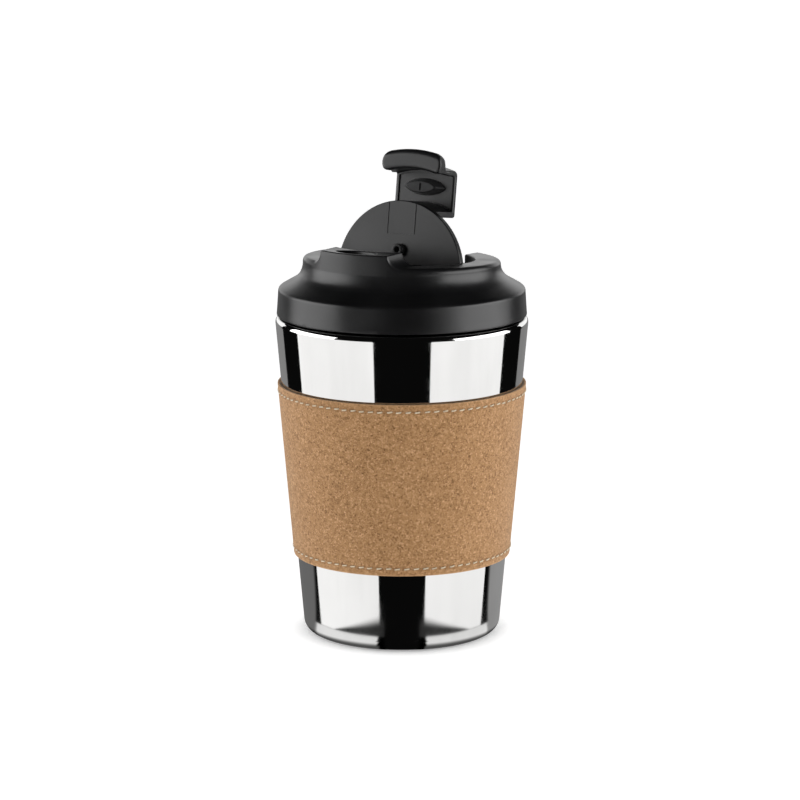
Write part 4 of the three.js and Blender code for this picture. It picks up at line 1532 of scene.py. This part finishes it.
def painted_reflection_card(stage):
    """A glowing patch just over the floor that only shows in reflections: a painted reflection for
    the steel round its foot. Its tones are laid out by their bearing from the camera's own side."""
    inner, outer, rows, columns = 30.6 * MM, 152 * MM, 120, 240
    foot = 30.5 * MM
    points, tones = [], []
    for i in range(rows + 1):
        radius = inner + (outer - inner) * i / rows
        for j in range(columns):
            bearing = 360 * j / columns - 180
            turn = stage.azimuth + math.radians(bearing)
            points.append((radius * math.sin(turn), -radius * math.cos(turn), 0.1 * MM))
            tones.append(painted_reflection_tone(bearing, radius, foot))
    mesh = bpy.data.meshes.new("stage_painted_reflection")
    mesh.from_pydata(points, [], grid_faces(rows + 1, columns, False, True))
    layer = mesh.attributes.new("Tone", "FLOAT_COLOR", "POINT")
    for spot, (tone, cover) in zip(layer.data, tones):
        spot.color = (tone, cover, 0, 1)
    finish, tree, shader = new_material("painted_reflection_card", {"Base Color": (0, 0, 0, 1)})
    seen = tree.node("ShaderNodeAttribute", attribute_name="Tone").outputs["Color"]
    parts = tree.node("ShaderNodeSeparateColor", {0: seen}).outputs
    shader.inputs["Specular IOR Level"].default_value = 0.0
    shader.inputs["Emission Strength"].default_value = 1.0
    glow = tree.node("ShaderNodeCombineColor", {0: parts[0], 1: parts[0], 2: parts[0]}).outputs[0]
    drive(tree, shader, Emission_Color=glow, Alpha=parts[1])
    mesh.materials.append(finish)
    card = bpy.data.objects.new("stage_painted_reflection", mesh)
    bpy.context.scene.collection.objects.link(card)
    card.visible_camera = card.visible_diffuse = card.visible_shadow = False
    return card


class CUP_OT_stage(bpy.types.Operator):
    """Pale floor, soft lights and the camera"""

    bl_idname = "cup.stage"
    bl_label = "Stage"

    def execute(self, context):
        scene = context.scene
        stage = scene.cup_stage
        reach = stage.floor_size
        floor_finish, tree, shader = new_material(
            "pale_floor", {"Roughness": 0.9, "Specular IOR Level": 0.1, "Emission Strength": 1.0}
        )
        soft = tree.noise(tree.place(), 3.0, 2.0)
        tint = tree.mix(soft, (0.80, 0.80, 0.80), (0.82, 0.82, 0.82))
        out = tree.vector("LENGTH", {0: tree.place()}, "Value")
        # the floor's own glow is darker round the foot, in place of a cast shadow
        near = tree.remap(out, 27 * MM, 43 * MM)
        glow = tree.mix(near, (0.1, 0.1, 0.1), (0.72, 0.72, 0.72))
        drive(tree, shader, Base_Color=tint, Emission_Color=glow)
        floor = from_points(
            "stage_floor",
            [(-reach, -reach, 0), (reach, -reach, 0), (reach, reach, 0), (-reach, reach, 0)],
            [(0, 1, 2, 3)],
            floor_finish,
        )
        floor.visible_glossy = False
        # a glowing card seen only in the steel, as a painted reflection
        painted_reflection_card(stage)

        for light in LIGHTS:
            softbox(stage, *light)
        world = bpy.data.worlds.new("studio")
        world.use_nodes = True
        nodes = Tree(world.node_tree)
        shown = world.node_tree.nodes["Background"]
        path = nodes.node("ShaderNodeLightPath").outputs
        share = nodes.mix(path["Is Glossy Ray"], (0.22, 0.22, 0.22), (0.003, 0.003, 0.003))
        share = nodes.mix(path["Is Camera Ray"], share, (0.93, 0.93, 0.93))
        nodes.tree.links.new(share, shown.inputs["Color"])
        scene.world = world
        scene.view_settings.view_transform = "Standard"

        data = bpy.data.cameras.new("camera")
        data.lens, data.sensor_width = stage.lens, 36.0
        data.clip_start, data.clip_end = 0.05, 50.0
        camera = bpy.data.objects.new("camera", data)
        scene.collection.objects.link(camera)
        turn = stage.azimuth
        aside = -0.67 * MM  # the camera stands a little to one side of the axis
        camera.location = (
            stage.distance * math.sin(turn) + aside * math.cos(turn),
            -stage.distance * math.cos(turn) + aside * math.sin(turn),
            stage.height,
        )
        camera.rotation_euler = (math.pi / 2 - stage.pitch, 0, turn)
        scene.camera = camera
        return {"FINISHED"}


class CUP_PT_panel(bpy.types.Panel):
    """Buttons for each piece and the sizes they use"""

    bl_idname = "CUP_PT_panel"
    bl_label = "Travel Cup"
    bl_space_type = "VIEW_3D"
    bl_region_type = "UI"
    bl_category = "Travel Cup"

    def draw(self, context):
        layout = self.layout
        for operator in OPERATORS:
            layout.operator(operator.bl_idname)
        for name in GROUPS:
            box = layout.box()
            settings = getattr(context.scene, name)
            for key in settings.bl_rna.properties.keys():
                if key not in ("rna_type", "name"):
                    box.prop(settings, key)


GROUPS = {
    "cup_sizes": CupSizes,
    "cup_sleeve": SleeveSizes,
    "cup_lid": LidSizes,
    "cup_flap": FlapSizes,
    "cup_finishes": Finishes,
    "cup_stage": StageSettings,
}
OPERATORS = (
    CUP_OT_stage,
    CUP_OT_outer_shell,
    CUP_OT_liner,
    CUP_OT_sleeve,
    CUP_OT_stitches,
    CUP_OT_lid,
    CUP_OT_flap,
    CUP_OT_plugs,
)


def register():
    for made in (*GROUPS.values(), *OPERATORS, CUP_PT_panel):
        bpy.utils.register_class(made)
    for name, made in GROUPS.items():
        setattr(bpy.types.Scene, name, bpy.props.PointerProperty(type=made))


def unregister():
    for name in GROUPS:
        delattr(bpy.types.Scene, name)
    for made in reversed((*GROUPS.values(), *OPERATORS, CUP_PT_panel)):
        bpy.utils.unregister_class(made)


def main():
    register()
    bpy.ops.cup.stage()
    bpy.ops.cup.outer_shell()
    bpy.ops.cup.liner()
    bpy.ops.cup.sleeve()
    bpy.ops.cup.stitches()
    bpy.ops.cup.lid()
    bpy.ops.cup.flap()
    bpy.ops.cup.plugs()


if __name__ == "__main__":
    main()
